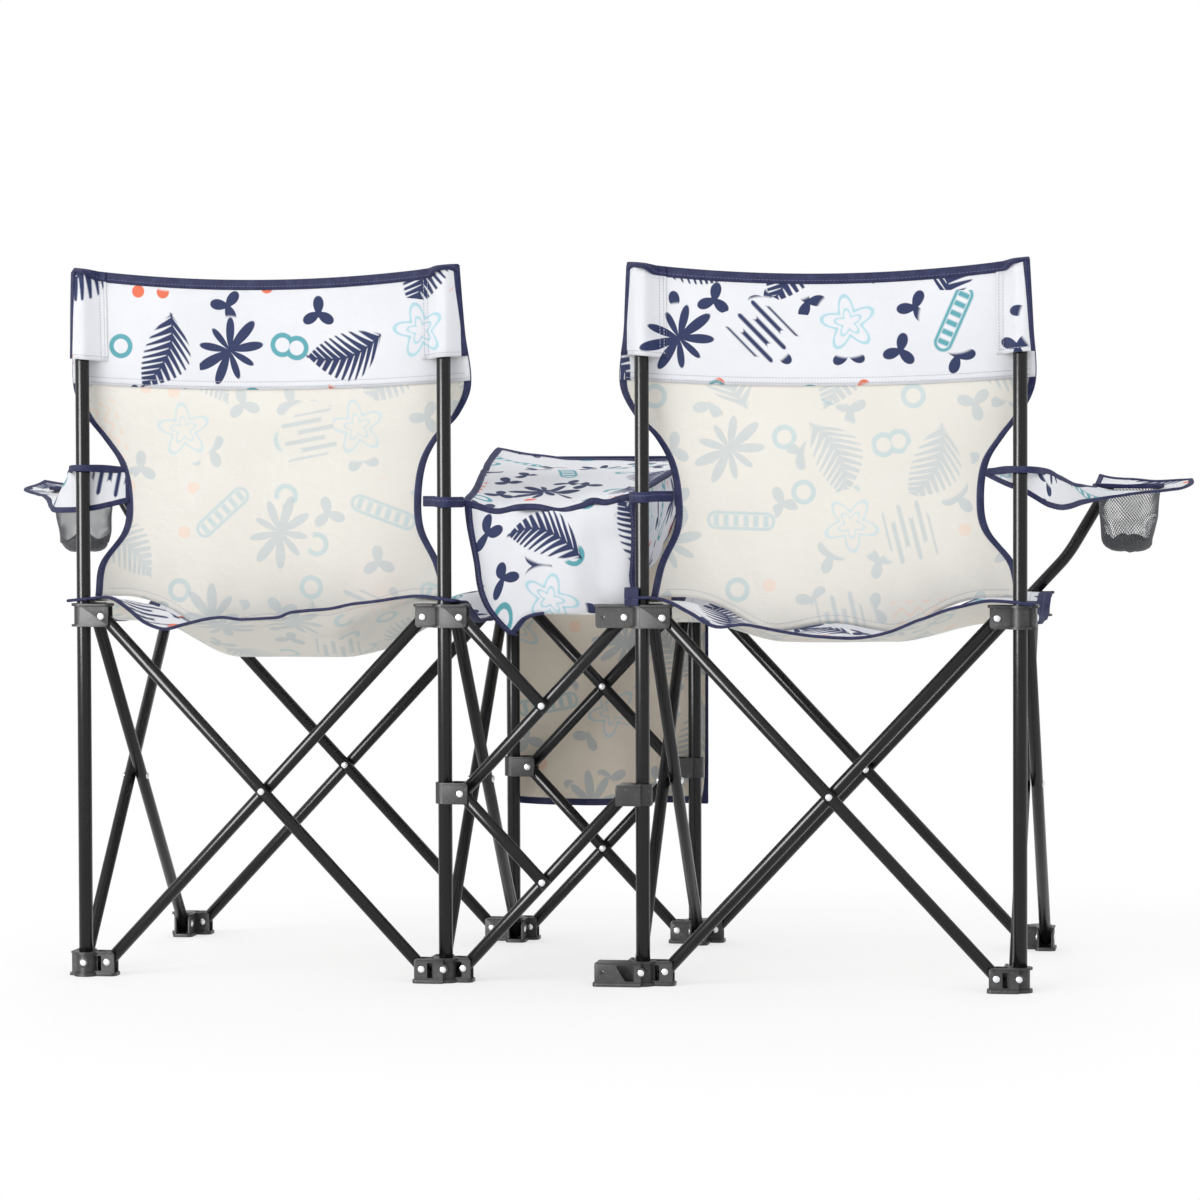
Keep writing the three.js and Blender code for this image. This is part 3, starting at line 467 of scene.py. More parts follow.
def plastic_material():
    made, graph = material("moulded_plastic", 0.42, specular=0.4)
    place = graph.on_object()
    cloudy = graph.noise(place, 60.0, 4.0)
    scuffs = graph.step(graph.noise(place, 210.0, 5.0, 0.7), 0.56, 0.72)
    base = graph.colour(cloudy, rgba(0.021, 0.021, 0.022), rgba(0.046, 0.045, 0.045))
    grain = graph.bump(graph.noise(place, 1500.0, 3.0), 0.0001)
    graph.paint(graph.colour(scuffs, base, rgba(0.085, 0.085, 0.088)), grain, cloudy * 0.2 + 0.34)
    return made


def speckled_material(name, dark, pale, grain, height, roughness, **shader):
    """Two tones of one grain, which also stands up by the given height in metres."""
    made, graph = material(name, roughness, **shader)
    speckle = graph.noise(graph.on_object(), *grain)
    graph.paint(graph.colour(speckle, rgba(*dark), rgba(*pale)), graph.bump(speckle, height))
    return made


YARN = {"grain": (320.0, 5.0, 0.65), "height": 0.0003, "roughness": 0.75, "specular": 0.3, "sheen": 0.1}
PRINTED = cloth_material("printed_cloth", CLOTH_WHITE, INKS)
REVERSE = cloth_material("cloth_reverse", CLOTH_BEIGE, FAINT_INKS, 0.29)
PANEL_REVERSE = cloth_material("panel_reverse", PANEL_BEIGE, FAINT_INKS, 0.42)
BINDING = binding_material()
THREAD = speckled_material(
    "stitch_thread", (0.44, 0.45, 0.52), (0.58, 0.58, 0.64), (700.0, 3.0), 0.0002, 0.6, specular=0.3
)
STEEL = steel_material()
PLASTIC = plastic_material()
RIVET = speckled_material(
    "rivet_steel", (0.70, 0.71, 0.73), (0.86, 0.87, 0.89), (400.0, 4.0), 0.0001, 0.3, metallic=1.0
)
NET = speckled_material("net_yarn", (0.10, 0.105, 0.115), (0.21, 0.215, 0.225), **YARN)
CUP_CLOTH = speckled_material("cup_cloth", (0.03, 0.031, 0.034), (0.11, 0.112, 0.12), **YARN)

# Camera, light and floor
CAMERA_PLACE = Vector((-793.0, 4643.5, 572.5)) * MM
YAW, PITCH, ROLL = -0.163, 0.031, -0.003
SENSOR, PHOTO_WIDTH, FOCAL_PIXELS = 36, 1200, 3997.6
FOCAL_LENGTH = FOCAL_PIXELS / PHOTO_WIDTH * SENSOR
LIGHTS_AIM = Vector((0, 0, 0.5))
# How white the floor is near the object, and from where to where in metres it turns fully white
WORLD_LEVEL, FLOOR_WHITE, FLOOR_REACH, FLOOR_FADE = 0.70, 0.6, 16000, (0.5, 1.6)


def make_camera():
    forward = Vector((-math.sin(YAW) * math.cos(PITCH), -math.cos(YAW) * math.cos(PITCH), -math.sin(PITCH)))
    right = forward.cross(UP).normalized()
    up = right.cross(forward).normalized()
    turned_right = right * math.cos(ROLL) + up * math.sin(ROLL)
    turned_up = up * math.cos(ROLL) - right * math.sin(ROLL)
    data = bpy.data.cameras.new("photo_camera")
    data.sensor_width, data.lens = SENSOR, FOCAL_LENGTH
    data.clip_start, data.clip_end = 0.1, 60
    camera = link("photo_camera", data)
    basis = Matrix((turned_right, turned_up, -forward)).transposed()
    camera.matrix_world = Matrix.Translation(CAMERA_PLACE) @ basis.to_4x4()
    bpy.context.scene.camera = camera


def make_light(name, place, size, power, only_gloss=False):
    """A soft lamp, which only lights surfaces or else shows only as the highlight in glossy ones."""
    data = bpy.data.lights.new(name, "AREA")
    data.shape = "RECTANGLE"
    data.size, data.size_y = size
    data.energy = power
    light = link(name, data)
    light.location = place
    light.rotation_euler = (LIGHTS_AIM - Vector(place)).to_track_quat("-Z", "Y").to_euler()
    light.visible_glossy = only_gloss
    light.visible_diffuse = not only_gloss


def seen_directly(graph):
    """1 for rays that show the background itself: from the camera, in gloss and through glass."""
    rays = ["Is Camera Ray", "Is Transmission Ray", "Is Glossy Ray"]
    return graph.most(*graph.outputs(rays, "ShaderNodeLightPath", {}))


def make_world():
    world = bpy.data.worlds.new("studio")
    bpy.context.scene.world = world
    world.use_nodes = True
    graph = Graph(world.node_tree)
    background = world.node_tree.nodes["Background"].inputs
    graph.feed(background["Strength"], seen_directly(graph) * (1 - WORLD_LEVEL) + WORLD_LEVEL)
    graph.feed(background["Color"], rgba(1, 1, 1))


def make_floor():
    """A pale floor that keeps the shadow near the object and turns white further out."""
    made, graph = material("studio_floor", 0.9, specular=0.1)
    place = graph.on_object()
    tint = graph.colour(graph.noise(place, 0.6, 2.0), rgba(0.93, 0.93, 0.93), rgba(0.95, 0.95, 0.95))
    graph.paint(tint, None)
    distance = graph.outputs(["Value"], "ShaderNodeVectorMath", {0: place}, operation="LENGTH")[0]
    whiter = graph.step(distance, *FLOOR_FADE) * (1 - FLOOR_WHITE) + FLOOR_WHITE
    nodes = made.node_tree.nodes
    near = Value(graph, nodes["Principled BSDF"].outputs[0])
    white = graph.first("ShaderNodeEmission", {})
    mixed = graph.first("ShaderNodeMixShader", {0: whiter * seen_directly(graph), 1: near, 2: white})
    graph.feed(nodes["Material Output"].inputs["Surface"], mixed)
    corners = [(x * FLOOR_REACH, y * FLOOR_REACH, 0) for x, y in ((-1, -1), (1, -1), (1, 1), (-1, 1))]
    return make_object("studio_floor", corners, [(0, 1, 2, 3)], [made])


make_camera()
make_world()
make_light("key_light", (2.6, 3.4, 3.2), (3.0, 2.4), 95)
make_light("fill_light", (-3.2, 2.4, 2.2), (2.6, 2.2), 36)
make_light("front_light", (0.4, -3.6, 2.8), (3.0, 2.0), 60)
make_light("strip_light", (2.7, 3.7, 1.1), (2.0, 3.6), 560, True)
make_floor()
bpy.context.scene.view_settings.view_transform = "Standard"


# Steel tubes and posts
CORNERS = {}
for hand, sign in HANDS:
    for end, y in (("rear", REAR_Y), ("front", FRONT_Y)):
        CORNERS[f"{hand}_inner_{end}"] = Vector((sign * INNER_X, y, 0))
        CORNERS[f"{hand}_outer_{end}"] = Vector((sign * OUTER_X, y, 0))

# name, corner whose foot the first tube rises from, corner whose hub it reaches, lane, armrest tube or not
CHAIR_PANELS = []
for hand, sign in HANDS:
    inner_rear, outer_rear, inner_front, outer_front = (
        f"{hand}_{corner}" for corner in ("inner_rear", "outer_rear", "inner_front", "outer_front")
    )
    CHAIR_PANELS += [
        (f"{hand}_back", inner_rear, outer_rear, sign, False),
        (f"{hand}_inner_side", inner_front, inner_rear, -1, False),
        (f"{hand}_outer_side", outer_rear, outer_front, 1, False),
        (f"{hand}_front", inner_front, outer_front, sign, True),
    ]
TUBE_WALL, TUBE_BORE, TUBE_SIDES, TUBE_BEVEL, LIP_INSIDE, LIP_OUTSIDE = 1.1, 26, 28, 0.5, 0.35, 0.4
RIVET_RADIUS, RIVET_HEIGHT, CROSS_RIVET_HEIGHT, RIVET_SKIRT, RIVET_SIDES = 4.1, 2.1, 2.9, 0.7, 20
# How deep a crossing's rivet head sits in the tube
RIVET_SUNK = 0.9
ARM_STRAIGHT, ARM_RADIUS, ARM_BEND, ARM_TOP, ARM_STEPS = 68, 150, math.radians(12.4), 85, 10
STEEL_SHARP, PLASTIC_SHARP = 40, 38


def lateral_of(along):
    return Vector((abs(along.y), abs(along.x), 0))


def square_to(direction):
    return direction.cross(UP if abs(direction.z) < 0.9 else X_AXIS).normalized()


def tube_skin(points, radius):
    """A round tube along the points, with softened ends and an open bore at each end."""
    last = len(points) - 1
    directions = [(points[min(i + 1, last)] - points[max(i - 1, 0)]).normalized() for i in range(last + 1)]
    inner = radius - TUBE_WALL
    mouth = [
        (TUBE_BORE, inner), (TUBE_BEVEL, inner), (0, inner + LIP_INSIDE), (0, radius - LIP_OUTSIDE),
        (TUBE_BEVEL, radius),
    ]
    stations = [(points[0] + directions[0] * depth, directions[0], size) for depth, size in mouth]
    stations += [(point, direction, radius) for point, direction in zip(points[1:-1], directions[1:-1])]
    stations += [(points[-1] - directions[-1] * depth, directions[-1], size) for depth, size in mouth[::-1]]
    side = square_to(directions[0])
    rings = []
    for centre, direction, size in stations:
        rise = direction.cross(side).normalized()
        rings.append(ring(centre, rise.cross(direction).normalized(), rise, size, TUBE_SIDES))
    return skin(rings)


def rivet_skin(base, outward, radius=RIVET_RADIUS, height=RIVET_HEIGHT):
    """A domed rivet head standing on its base point."""
    side = square_to(outward)
    rise = outward.cross(side).normalized()
    profile = [(radius * 0.92, 0.0), (radius, 0.15 * height), (radius, RIVET_SKIRT)]
    for step in range(1, 5):
        angle = step / 5 * math.pi / 2
        profile.append((radius * math.cos(angle), RIVET_SKIRT + (height - RIVET_SKIRT) * math.sin(angle)))
    return skin([ring(base + outward * lift, side, rise, size, RIVET_SIDES) for size, lift in profile])


def stand_for(piece, node, body):
    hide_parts(node)
    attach(piece, body)


def frame_tube(name, start, end, lane, tail, pins, path=None):
    """A scissor tube between two pivots; pins is a list of (share of the way, kind of pivot)."""
    along = (end - start).normalized()
    lateral = lateral_of(Vector((along.x, along.y, 0)).normalized())
    points = [start - along * tail] + (path if path else [end + along * tail])
    parts = [(*tube_skin([point + lateral * (lane * LANE) for point in points], TUBE_RADIUS), 0, None)]
    for share, kind in pins:
        middle, reach, height = {
            "pin": (lane * LANE, PIN_REACH, RIVET_HEIGHT),
            "cross": (0, LANE + TUBE_RADIUS - RIVET_SUNK, CROSS_RIVET_HEIGHT),
            "shared": (0, LANE + PIN_REACH, RIVET_HEIGHT),
        }[kind]
        for sign in (1, -1):
            base = start.lerp(end, share) + lateral * (middle + sign * reach)
            parts.append((*rivet_skin(base, lateral * sign, height=height), 1, None))
    vertices, faces, slots, _ = join_pieces(parts)
    piece = make_object(f"dressed_{name}", vertices, faces, [STEEL, RIVET], slots, sharp=STEEL_SHARP)
    stand_for(tidy_normals(piece), name, name)


def arm_path(hub_pivot, along):
    """The armrest tube runs on past its hub, bends upward and ends under the armrest."""
    flat = Vector((along.x, along.y, 0)).normalized()
    angle = math.atan2(along.z, along.dot(flat))
    turn = ARM_BEND / ARM_STEPS
    points = [hub_pivot + along * ARM_STRAIGHT]

    def go(length, direction):
        forward, rise = length * math.cos(direction), length * math.sin(direction)
        points.append(points[-1] + flat * forward + UP * rise)

    for _ in range(ARM_STEPS):
        go(2 * ARM_RADIUS * math.sin(turn / 2), angle + turn / 2)
        angle += turn
    go(ARM_TOP, angle)
    return points


for name, first, second, lane, is_arm in CHAIR_PANELS:
    along = (CORNERS[second] - CORNERS[first]).normalized()
    near, far = CORNERS[first] + along * CHAIR_PIVOT, CORNERS[second] - along * CHAIR_PIVOT
    low, high = UP * FOOT_PIVOT_Z, UP * HUB_PIVOT_Z
    path = arm_path(far + high, (far + high - near - low).normalized()) if is_arm else None
    first_name = f"{name}_arm_tube" if is_arm else f"{name}_tube_a"
    crossed = [(0, "pin"), (0.5, "cross"), (1, "pin")]
    frame_tube(first_name, near + low, far + high, lane, CHAIR_TAIL, crossed, path)
    frame_tube(f"{name}_tube_b", far + low, near + high, -lane, CHAIR_TAIL, [(0, "pin"), (1, "pin")])


def middle_point(corner, height):
    along = -X_AXIS if CORNERS[corner].x > 0 else X_AXIS
    return CORNERS[corner] + along * MIDDLE_PIVOT + UP * height


for storey, low, high, low_pins, top_kind in (
    ("lower", FOOT_PIVOT_Z, COLLAR_PIVOT_Z, [(0, "pin")], "shared"),
    ("upper", COLLAR_PIVOT_Z, HUB_PIVOT_Z, [], "pin"),
):
    crossed = low_pins + [(0.5, "cross")]
    for end, first_name, top in (("front", "_bar_a", top_kind), ("rear", "_bar", "pin")):
        start, finish = middle_point(f"left_inner_{end}", low), middle_point(f"right_inner_{end}", high)
        left_high = middle_point(f"left_inner_{end}", high)
        name = f"middle_{end}_{storey}"
        frame_tube(name + first_name, start, finish, -1, MIDDLE_TAIL, crossed + [(1, top)])
        if end == "front":
            right_low = middle_point("right_inner_front", low)
            frame_tube(f"{name}_bar_b", right_low, left_high, 1, MIDDLE_TAIL, low_pins + [(1, top_kind)])
        else:
            frame_tube(f"{name}_link", start.lerp(finish, 0.5), left_high, 1, MIDDLE_TAIL, [(1, top_kind)])

for corner, place in CORNERS.items():
    if corner.endswith("outer_front"):
        continue
    top = BACK_POST_TOP if corner.endswith("rear") else FRONT_POST_TOP
    vertices, faces = tube_skin([place + UP * (BASE_PLATE + RUNNING_GAP), place + UP * top], POST_RADIUS)
    piece = make_object(f"dressed_{corner}_post", vertices, faces, [STEEL], sharp=STEEL_SHARP)
    stand_for(tidy_normals(piece), f"{corner}_post", f"{corner}_corner")


# Feet, hubs and collars
Fork = namedtuple("Fork", "along offset lane reach has_slot")
BOSS_RADIUS, FLANGE_RADIUS, FLANGE_THICK, BODY_BEVEL = 11, 14, 2.5, 0.6
FORK_CORNER, FORK_UP, FORK_DOWN, WALL_BEVEL = 3.5, 12, 12, 0.45
# The plate over a hub's forks, and how far their walls reach into it
HUB_PLATE, PLATE_LIP, PLATE_CORNER, PLATE_ROOT = 3, 2.4, 5.5, 0.5
LONG_FORK = 44.5
# The rim along a fork wall's free edge, and how deep it is rooted in the wall
WALL_RIM, WALL_RIM_HEIGHT, RIM_ROOT, RIM_BEVEL, RIM_CORNER = 0.9, 2.2, 1.2, 0.3, 1
# The web behind the tube: the room it leaves there, and how far it stays inside the walls' outline
WEB_ROOM, WEB_INSET = 1.6, 0.3
BORE = POST_RADIUS + RUNNING_GAP
EMPTY_HOLE, HOLE_REACH = 2.4, 26
# Openings in the feet between the post and the tube, as corners along and up
WINDOW = [(10.5, 6), (18.5, 6), (18.5, 23.5), (10.5, 23.5)]
LONG_WINDOW = [(8, 6), (18, 6), (29, 24), (8, 24)]
WINDOW_CORNER, WINDOW_REACH = 1.2, 16
# The boss for the rivet through foot and post, how proud it stands, and how deep the rivet's head sits
RIVET_BOSS, RIVET_BOSS_BEVEL, POST_RIVET, BOSS_PROUD, HEAD_SUNK = 5.6, 0.5, 3.8, 0.6, 0.05
# How far a bore's tool runs past the part
OVER = 2
ROUND_SIDES, BOSS_SIDES, HOLE_SIDES = 40, 28, 16
# kind: lowest level, highest level, pivot, and how far its flanges reach up from the lowest level or, below
# zero, down from the highest
MOULDED = {
    "foot": (0, FOOT_PIVOT_Z + FORK_UP, FOOT_PIVOT_Z, [BASE_PLATE, -FLANGE_THICK]),
    "hub": (HUB_PIVOT_Z - FORK_DOWN, HUB_TOP, HUB_PIVOT_Z, [FLANGE_THICK, -HUB_PLATE]),
    "collar": (COLLAR_PIVOT_Z - FORK_DOWN, COLLAR_PIVOT_Z + FORK_UP, COLLAR_PIVOT_Z, []),
}


def box_outline(left, right, low, high):
    return [(left, low), (right, low), (right, high), (left, high)]


def rounded(points, radii, steps=6):
    """A closed outline whose convex corners are rounded with the given radii."""
    outline = []
    for k, point in enumerate(points):
        here = Vector(point)
        if radii[k] <= 0:
            outline.append(here)
            continue
        before, after = Vector(points[k - 1]) - here, Vector(points[(k + 1) % len(points)]) - here
        half = before.angle(after) / 2
        before.normalize()
        after.normalize()
        start, finish = (here + side * (radii[k] / math.tan(half)) for side in (before, after))
        centre = here + (before + after).normalized() * (radii[k] / math.sin(half))
        for step in range(steps + 1):
            outline.append(centre + (start.lerp(finish, step / steps) - centre).normalized() * radii[k])
    return outline


def circle(radius, sides):
    turns = [k * math.tau / sides for k in range(sides)]
    return [(radius * math.cos(turn), radius * math.sin(turn)) for turn in turns]


def block(outline, origin, across, rise, out, low, high, bevel=0.0):
    """A prism over an outline drawn in across and rise, between two levels along out, with softened rims."""
    bm = bmesh.new()
    ends = []
    for level in sorted((low, high)):
        ends.append([bm.verts.new((origin + across * x + rise * y + out * level) * MM) for x, y in outline])
    caps = [bm.faces.new(end) for end in ends]
    for k in range(len(outline)):
        after = (k + 1) % len(outline)
        bm.faces.new((ends[0][k], ends[0][after], ends[1][after], ends[1][k]))
    if bevel:
        rims = list({edge for cap in caps for edge in cap.edges})
        bmesh.ops.bevel(bm, geom=rims, offset=bevel * MM, segments=2, profile=0.6, affect="EDGES")
    bmesh.ops.recalc_face_normals(bm, faces=bm.faces)
    mesh = bpy.data.meshes.new("block")
    bm.to_mesh(mesh)
    bm.free()
    return link("block", mesh)


def upright(place, low, high, radius, bevel=0.0):
    return block(circle(radius, ROUND_SIDES), place, X_AXIS, Y_AXIS, UP, low, high, bevel)


def carve(adds, cuts):
    """The blocks joined into one and the tools cut out of it, as vertices in millimetres and faces."""
    base = adds[0]
    groups = []
    for operation, members in (("UNION", adds[1:]), ("DIFFERENCE", cuts)):
        if not members:
            continue
        group = bpy.data.collections.new("tools")
        for member in members:
            group.objects.link(member)
        groups.append(group)
        change = base.modifiers.new("carve", "BOOLEAN")
        change.operation, change.operand_type = operation, "COLLECTION"
        change.collection, change.solver = group, "MANIFOLD"
    evaluated = base.evaluated_get(bpy.context.evaluated_depsgraph_get())
    shaped = evaluated.to_mesh()
    vertices = [v.co / MM for v in shaped.vertices]
    faces = [tuple(face.vertices) for face in shaped.polygons]
    evaluated.to_mesh_clear()
    for piece in adds + cuts:
        mesh = piece.data
        bpy.data.objects.remove(piece)
        bpy.data.meshes.remove(mesh)
    for group in groups:
        bpy.data.collections.remove(group)
    return vertices, faces


FORKS = {corner: {kind: [] for kind in MOULDED} for corner in CORNERS}
for name, first, second, lane, is_arm in CHAIR_PANELS:
    along = (CORNERS[second] - CORNERS[first]).normalized()
    FORKS[first]["foot"].append(Fork(along, CHAIR_PIVOT, lane, CHAIR_PIVOT, False))
    FORKS[first]["hub"].append(Fork(along, CHAIR_PIVOT, -lane, CHAIR_PIVOT, False))
    FORKS[second]["foot"].append(Fork(-along, CHAIR_PIVOT, -lane, CHAIR_PIVOT, False))
    FORKS[second]["hub"].append(Fork(-along, CHAIR_PIVOT, lane, CHAIR_PIVOT, is_arm))
for hand, sign in HANDS:
    for end in ("front", "rear"):
        odd = end == "rear" and hand == "right"
        reach = LONG_FORK if odd else MIDDLE_PIVOT
        forks = FORKS[f"{hand}_inner_{end}"]
        forks["foot"].append(Fork(X_AXIS * -sign, MIDDLE_PIVOT, -sign, reach, False))
        forks["hub"].append(Fork(X_AXIS * -sign, MIDDLE_PIVOT, -1 if odd else sign, reach, False))
        forks["collar"].append(Fork(X_AXIS * -sign, MIDDLE_PIVOT, 0, MIDDLE_PIVOT, False))


def fork_blocks(place, fork, low, high, round_top):
    """Two walls either side of the tube, each with a rim along its free edge, and the web behind the tube."""
    lateral = lateral_of(fork.along)
    half = LANE + LANE if fork.lane == 0 else LANE
    tail = MIDDLE_TAIL if fork.offset == MIDDLE_PIVOT else CHAIR_TAIL
    web = fork.offset - tail * math.sin(LEAN) - TUBE_RADIUS * math.cos(LEAN) - WEB_ROOM
    length = fork.reach + FORK_END
    radii = [0, 0, FORK_CORNER, 0] if round_top else [0, FORK_CORNER, 0, 0]
    wall = rounded(box_outline(0, length, low, high), radii)
    rim_levels = (high - WALL_RIM_HEIGHT, high) if round_top else (low, low + WALL_RIM_HEIGHT)
    rim_outline = box_outline(0, length - FORK_CORNER * 0.6, *rim_levels)
    rim = rounded(rim_outline, [0, RIM_CORNER, RIM_CORNER, 0], 3)
    made = []
    for side in (-1, 1):
        inner = fork.lane * LANE + side * half
        outer = inner + side * FORK_WALL
        made.append(block(wall, place, fork.along, UP, lateral, inner, outer, WALL_BEVEL))
        root, edge = outer - side * RIM_ROOT, outer + side * WALL_RIM
        made.append(block(rim, place, fork.along, UP, lateral, root, edge, RIM_BEVEL))
    outer = half + FORK_WALL - WEB_INSET
    solid = box_outline(0, web, low + WEB_INSET, high - WEB_INSET)
    middle = fork.lane * LANE
    made.append(block(solid, place, fork.along, UP, lateral, middle - outer, middle + outer))
    return made


def plate_block(place, fork, low, high):
    """A rounded plate under or over a fork."""
    across = lateral_of(fork.along)
    half = PIN_REACH + PLATE_LIP
    corners = box_outline(0, fork.reach + FORK_END + PLATE_LIP, -half, half)
    outline = rounded(corners, [0, PLATE_CORNER, PLATE_CORNER, 0])
    centre = place + across * (fork.lane * LANE)
    return block(outline, centre, fork.along, across, UP, low, high, BODY_BEVEL)


def arm_slot(place, fork):
    """The room that the armrest tube sweeps through as the frame folds."""
    clear, folded = TUBE_RADIUS + 2 * RUNNING_GAP, LEAN / 4
    x, z = fork.offset, HUB_PIVOT_Z
    low_x, low_z = x - math.cos(LEAN) * clear, z - math.sin(LEAN) * clear
    high_x, high_z = x + math.cos(folded) * clear, math.sin(folded) * clear
    fan = [
        (low_x, low_z),
        (high_x, z - high_z),
        (high_x, z + high_z),
        (high_x - HUB_TOP * math.sin(folded), z + high_z + HUB_TOP * math.cos(folded)),
        (low_x - HUB_TOP * math.sin(LEAN), low_z + HUB_TOP * math.cos(LEAN)),
    ]
    middle = fork.lane * LANE
    return block(fan, place, fork.along, UP, lateral_of(fork.along), middle - LANE, middle + LANE)


def make_moulded(corner, kind):
    """One moulded part round its post; kind is foot, hub or collar."""
    low, high, pivot, flanges = MOULDED[kind]
    place = CORNERS[corner]
    has_post = not corner.endswith("outer_front")
    outward = 1 if corner.endswith("rear") else -1
    forks = FORKS[corner][kind]
    adds = [upright(place, low, high, BOSS_RADIUS, BODY_BEVEL)]
    for thick in flanges:
        foot = low if thick > 0 else high
        adds.append(upright(place, foot, foot + thick, FLANGE_RADIUS, BODY_BEVEL))
    heads, cuts = [], []
    for fork in forks:
        lateral = lateral_of(fork.along)
        is_long = fork.reach > fork.offset
        wall_top = high if kind != "hub" or fork.has_slot else high - HUB_PLATE + PLATE_ROOT
        adds.extend(fork_blocks(place, fork, low, wall_top, kind != "hub"))
        if kind == "foot":
            adds.append(plate_block(place, fork, 0, BASE_PLATE))
        elif kind == "hub" and not fork.has_slot:
            adds.append(plate_block(place, fork, high - HUB_PLATE, high))
        if fork.has_slot:
            cuts.append(arm_slot(place, fork))
        if is_long:
            hole = place + fork.along * fork.reach + UP * pivot
            empty = circle(EMPTY_HOLE, HOLE_SIDES)
            cuts.append(block(empty, hole, fork.along, UP, lateral, -HOLE_REACH, HOLE_REACH))
        if kind == "foot" and abs(fork.along.x) > 0.5:
            window = rounded(LONG_WINDOW if is_long else WINDOW, [WINDOW_CORNER] * 4, 3)
            middle = fork.lane * LANE
            near, far = middle + outward * (TUBE_RADIUS - 1), middle + outward * WINDOW_REACH
            cuts.append(block(window, place, fork.along, UP, lateral, near, far))
    if has_post:
        start = BASE_PLATE if kind == "foot" else low - OVER
        cuts.append(upright(place, start, high + OVER, BORE))
    if kind == "foot" and has_post:
        out, centre = Y_AXIS * outward, place + UP * pivot
        behind_fork = any(abs(fork.along.x) > 0.5 and fork.lane * outward > 0 for fork in forks)
        face = LANE + PIN_REACH if behind_fork else BOSS_RADIUS + BOSS_PROUD
        boss = circle(RIVET_BOSS, BOSS_SIDES)
        adds.append(block(boss, centre, X_AXIS, UP, out, BORE + BOSS_PROUD, face, RIVET_BOSS_BEVEL))
        heads.append((*rivet_skin(centre + out * (face - HEAD_SUNK), out, POST_RIVET), 1, None))
    vertices, faces, slots, uvs = join_pieces([(*carve(adds, cuts), 0, None)] + heads)
    name = f"{corner}_{kind}"
    piece = make_object(f"dressed_{name}", vertices, faces, [PLASTIC, RIVET], slots, uvs, PLASTIC_SHARP)
    stand_for(piece, name, f"{corner}_corner" if kind == "foot" else name)


for corner in CORNERS:
    for kind in MOULDED if "inner" in corner else ("foot", "hub"):
        make_moulded(corner, kind)


# Cloth helpers
# Each edge of a surface: the place (s, t) where it starts, the way along it and the way inward
EDGES = {
    "left": ((0, 0), (0, 1), (1, 0)), "right": ((1, 0), (0, 1), (-1, 0)),
    "bottom": ((0, 0), (1, 0), (0, 1)), "top": ((0, 1), (1, 0), (0, -1)),
}
# A small step over a surface, as a share of it, and the grid a cloth is measured on
STEP, MEASURE_GRID = 0.004, (40, 30)
STITCH_PITCH, STITCH_LENGTH, STITCH_HALF, STITCH_RISE, STITCH_LIFT = 3.6, 2.5, 0.36, 0.34, 0.7
CLOTH_THICK, UPPER_THICK, HEAVY_THICK, LID_THICK = 1.2, 1.1, 1.4, 1.8
# Printed on the side of the surface's normal
PRINT_OUT = [PRINTED, REVERSE]


def grid(surface, columns, rows):
    return [[surface(i / columns, j / rows) for i in range(columns + 1)] for j in range(rows + 1)]


def lengths_along(points):
    """How far each point lies along the chain of points."""
    lengths = [0.0]
    for before, after in zip(points, points[1:]):
        lengths.append(lengths[-1] + (after - before).length)
    return lengths


def on_chair(surface, sign, flip=False):
    """The left chair's surface on the chair given by the sign; flip turns its normal to the other side."""

    def placed(s, t):
        point = surface(1 - s if flip != (sign < 0) else s, t)
        return Vector((sign * point.x, point.y, point.z))

    return placed


def cloth_skin(surface, columns, rows, thickness, uv_shift, flat_print=False):
    """A closed thin cloth: slot 0 on the side of the surface's normal, slot 1 on the other."""
    points = grid(surface, columns, rows)
    widths = [lengths_along(row) for row in points]
    heights = [lengths_along(column) for column in zip(*points)]
    vertices, uvs, faces, slots = [], [], [], []
    for sign in (1, -1):
        for j, row in enumerate(points):
            for i, point in enumerate(row):
                across = row[min(i + 1, columns)] - row[max(i - 1, 0)]
                along = points[min(j + 1, rows)][i] - points[max(j - 1, 0)][i]
                vertices.append(point + across.cross(along).normalized() * (thickness / 2 * sign))
                u, v = (point.x, point.z) if flat_print else (widths[j][i] - widths[j][-1] / 2, heights[i][j])
                uvs.append((u * MM + uv_shift[0], v * MM + uv_shift[1]))
    wide, layer = columns + 1, (columns + 1) * (rows + 1)
    for j in range(rows):
        for i in range(columns):
            a, d = j * wide + i, (j + 1) * wide + i
            faces += [(a, a + 1, d + 1, d), (layer + d, layer + d + 1, layer + a + 1, layer + a)]
            slots += [0, 1]
    border = [*range(wide), *range(wide + columns, layer, wide)]
    border += [*range(layer - 2, layer - wide - 1, -1), *range(layer - 2 * wide, 0, -wide)]
    for a, b in zip(border, border[1:] + border[:1]):
        faces.append((a, layer + a, layer + b, b))
        slots.append(1)
    return vertices, faces, slots, uvs


def cloth_size(surface):
    """Flat area, width and length of a cloth in square metres and metres, measured over its surface."""
    points = grid(surface, *MEASURE_GRID)
    area = 0.0
    for low, high in zip(points, points[1:]):
        for a, b, c, d in zip(low, low[1:], high[1:], high):
            area += (c - a).cross(d - b).length / 2
    width = max(lengths_along(row)[-1] for row in points)
    length = max(lengths_along(column)[-1] for column in zip(*points))
    return area * MM * MM, width * MM, length * MM


def make_cloth(name, surface, cells, materials, thickness, uv_shift, flat_print=False):
    vertices, faces, slots, uvs = cloth_skin(surface, *cells, thickness, uv_shift, flat_print)
    return make_object(name, vertices, faces, materials, slots, uvs)


def sweep(points, section, axes, closed=False):
    """A flat section of (a, b) swept along the points, each of which has its own two axes."""
    run = lengths_along(points)
    rings = [[point + one * a + two * b for a, b in section] for point, (one, two) in zip(points, axes)]
    return *skin(rings, closed), [(length * MM, a * MM) for length in run for a, _ in section]


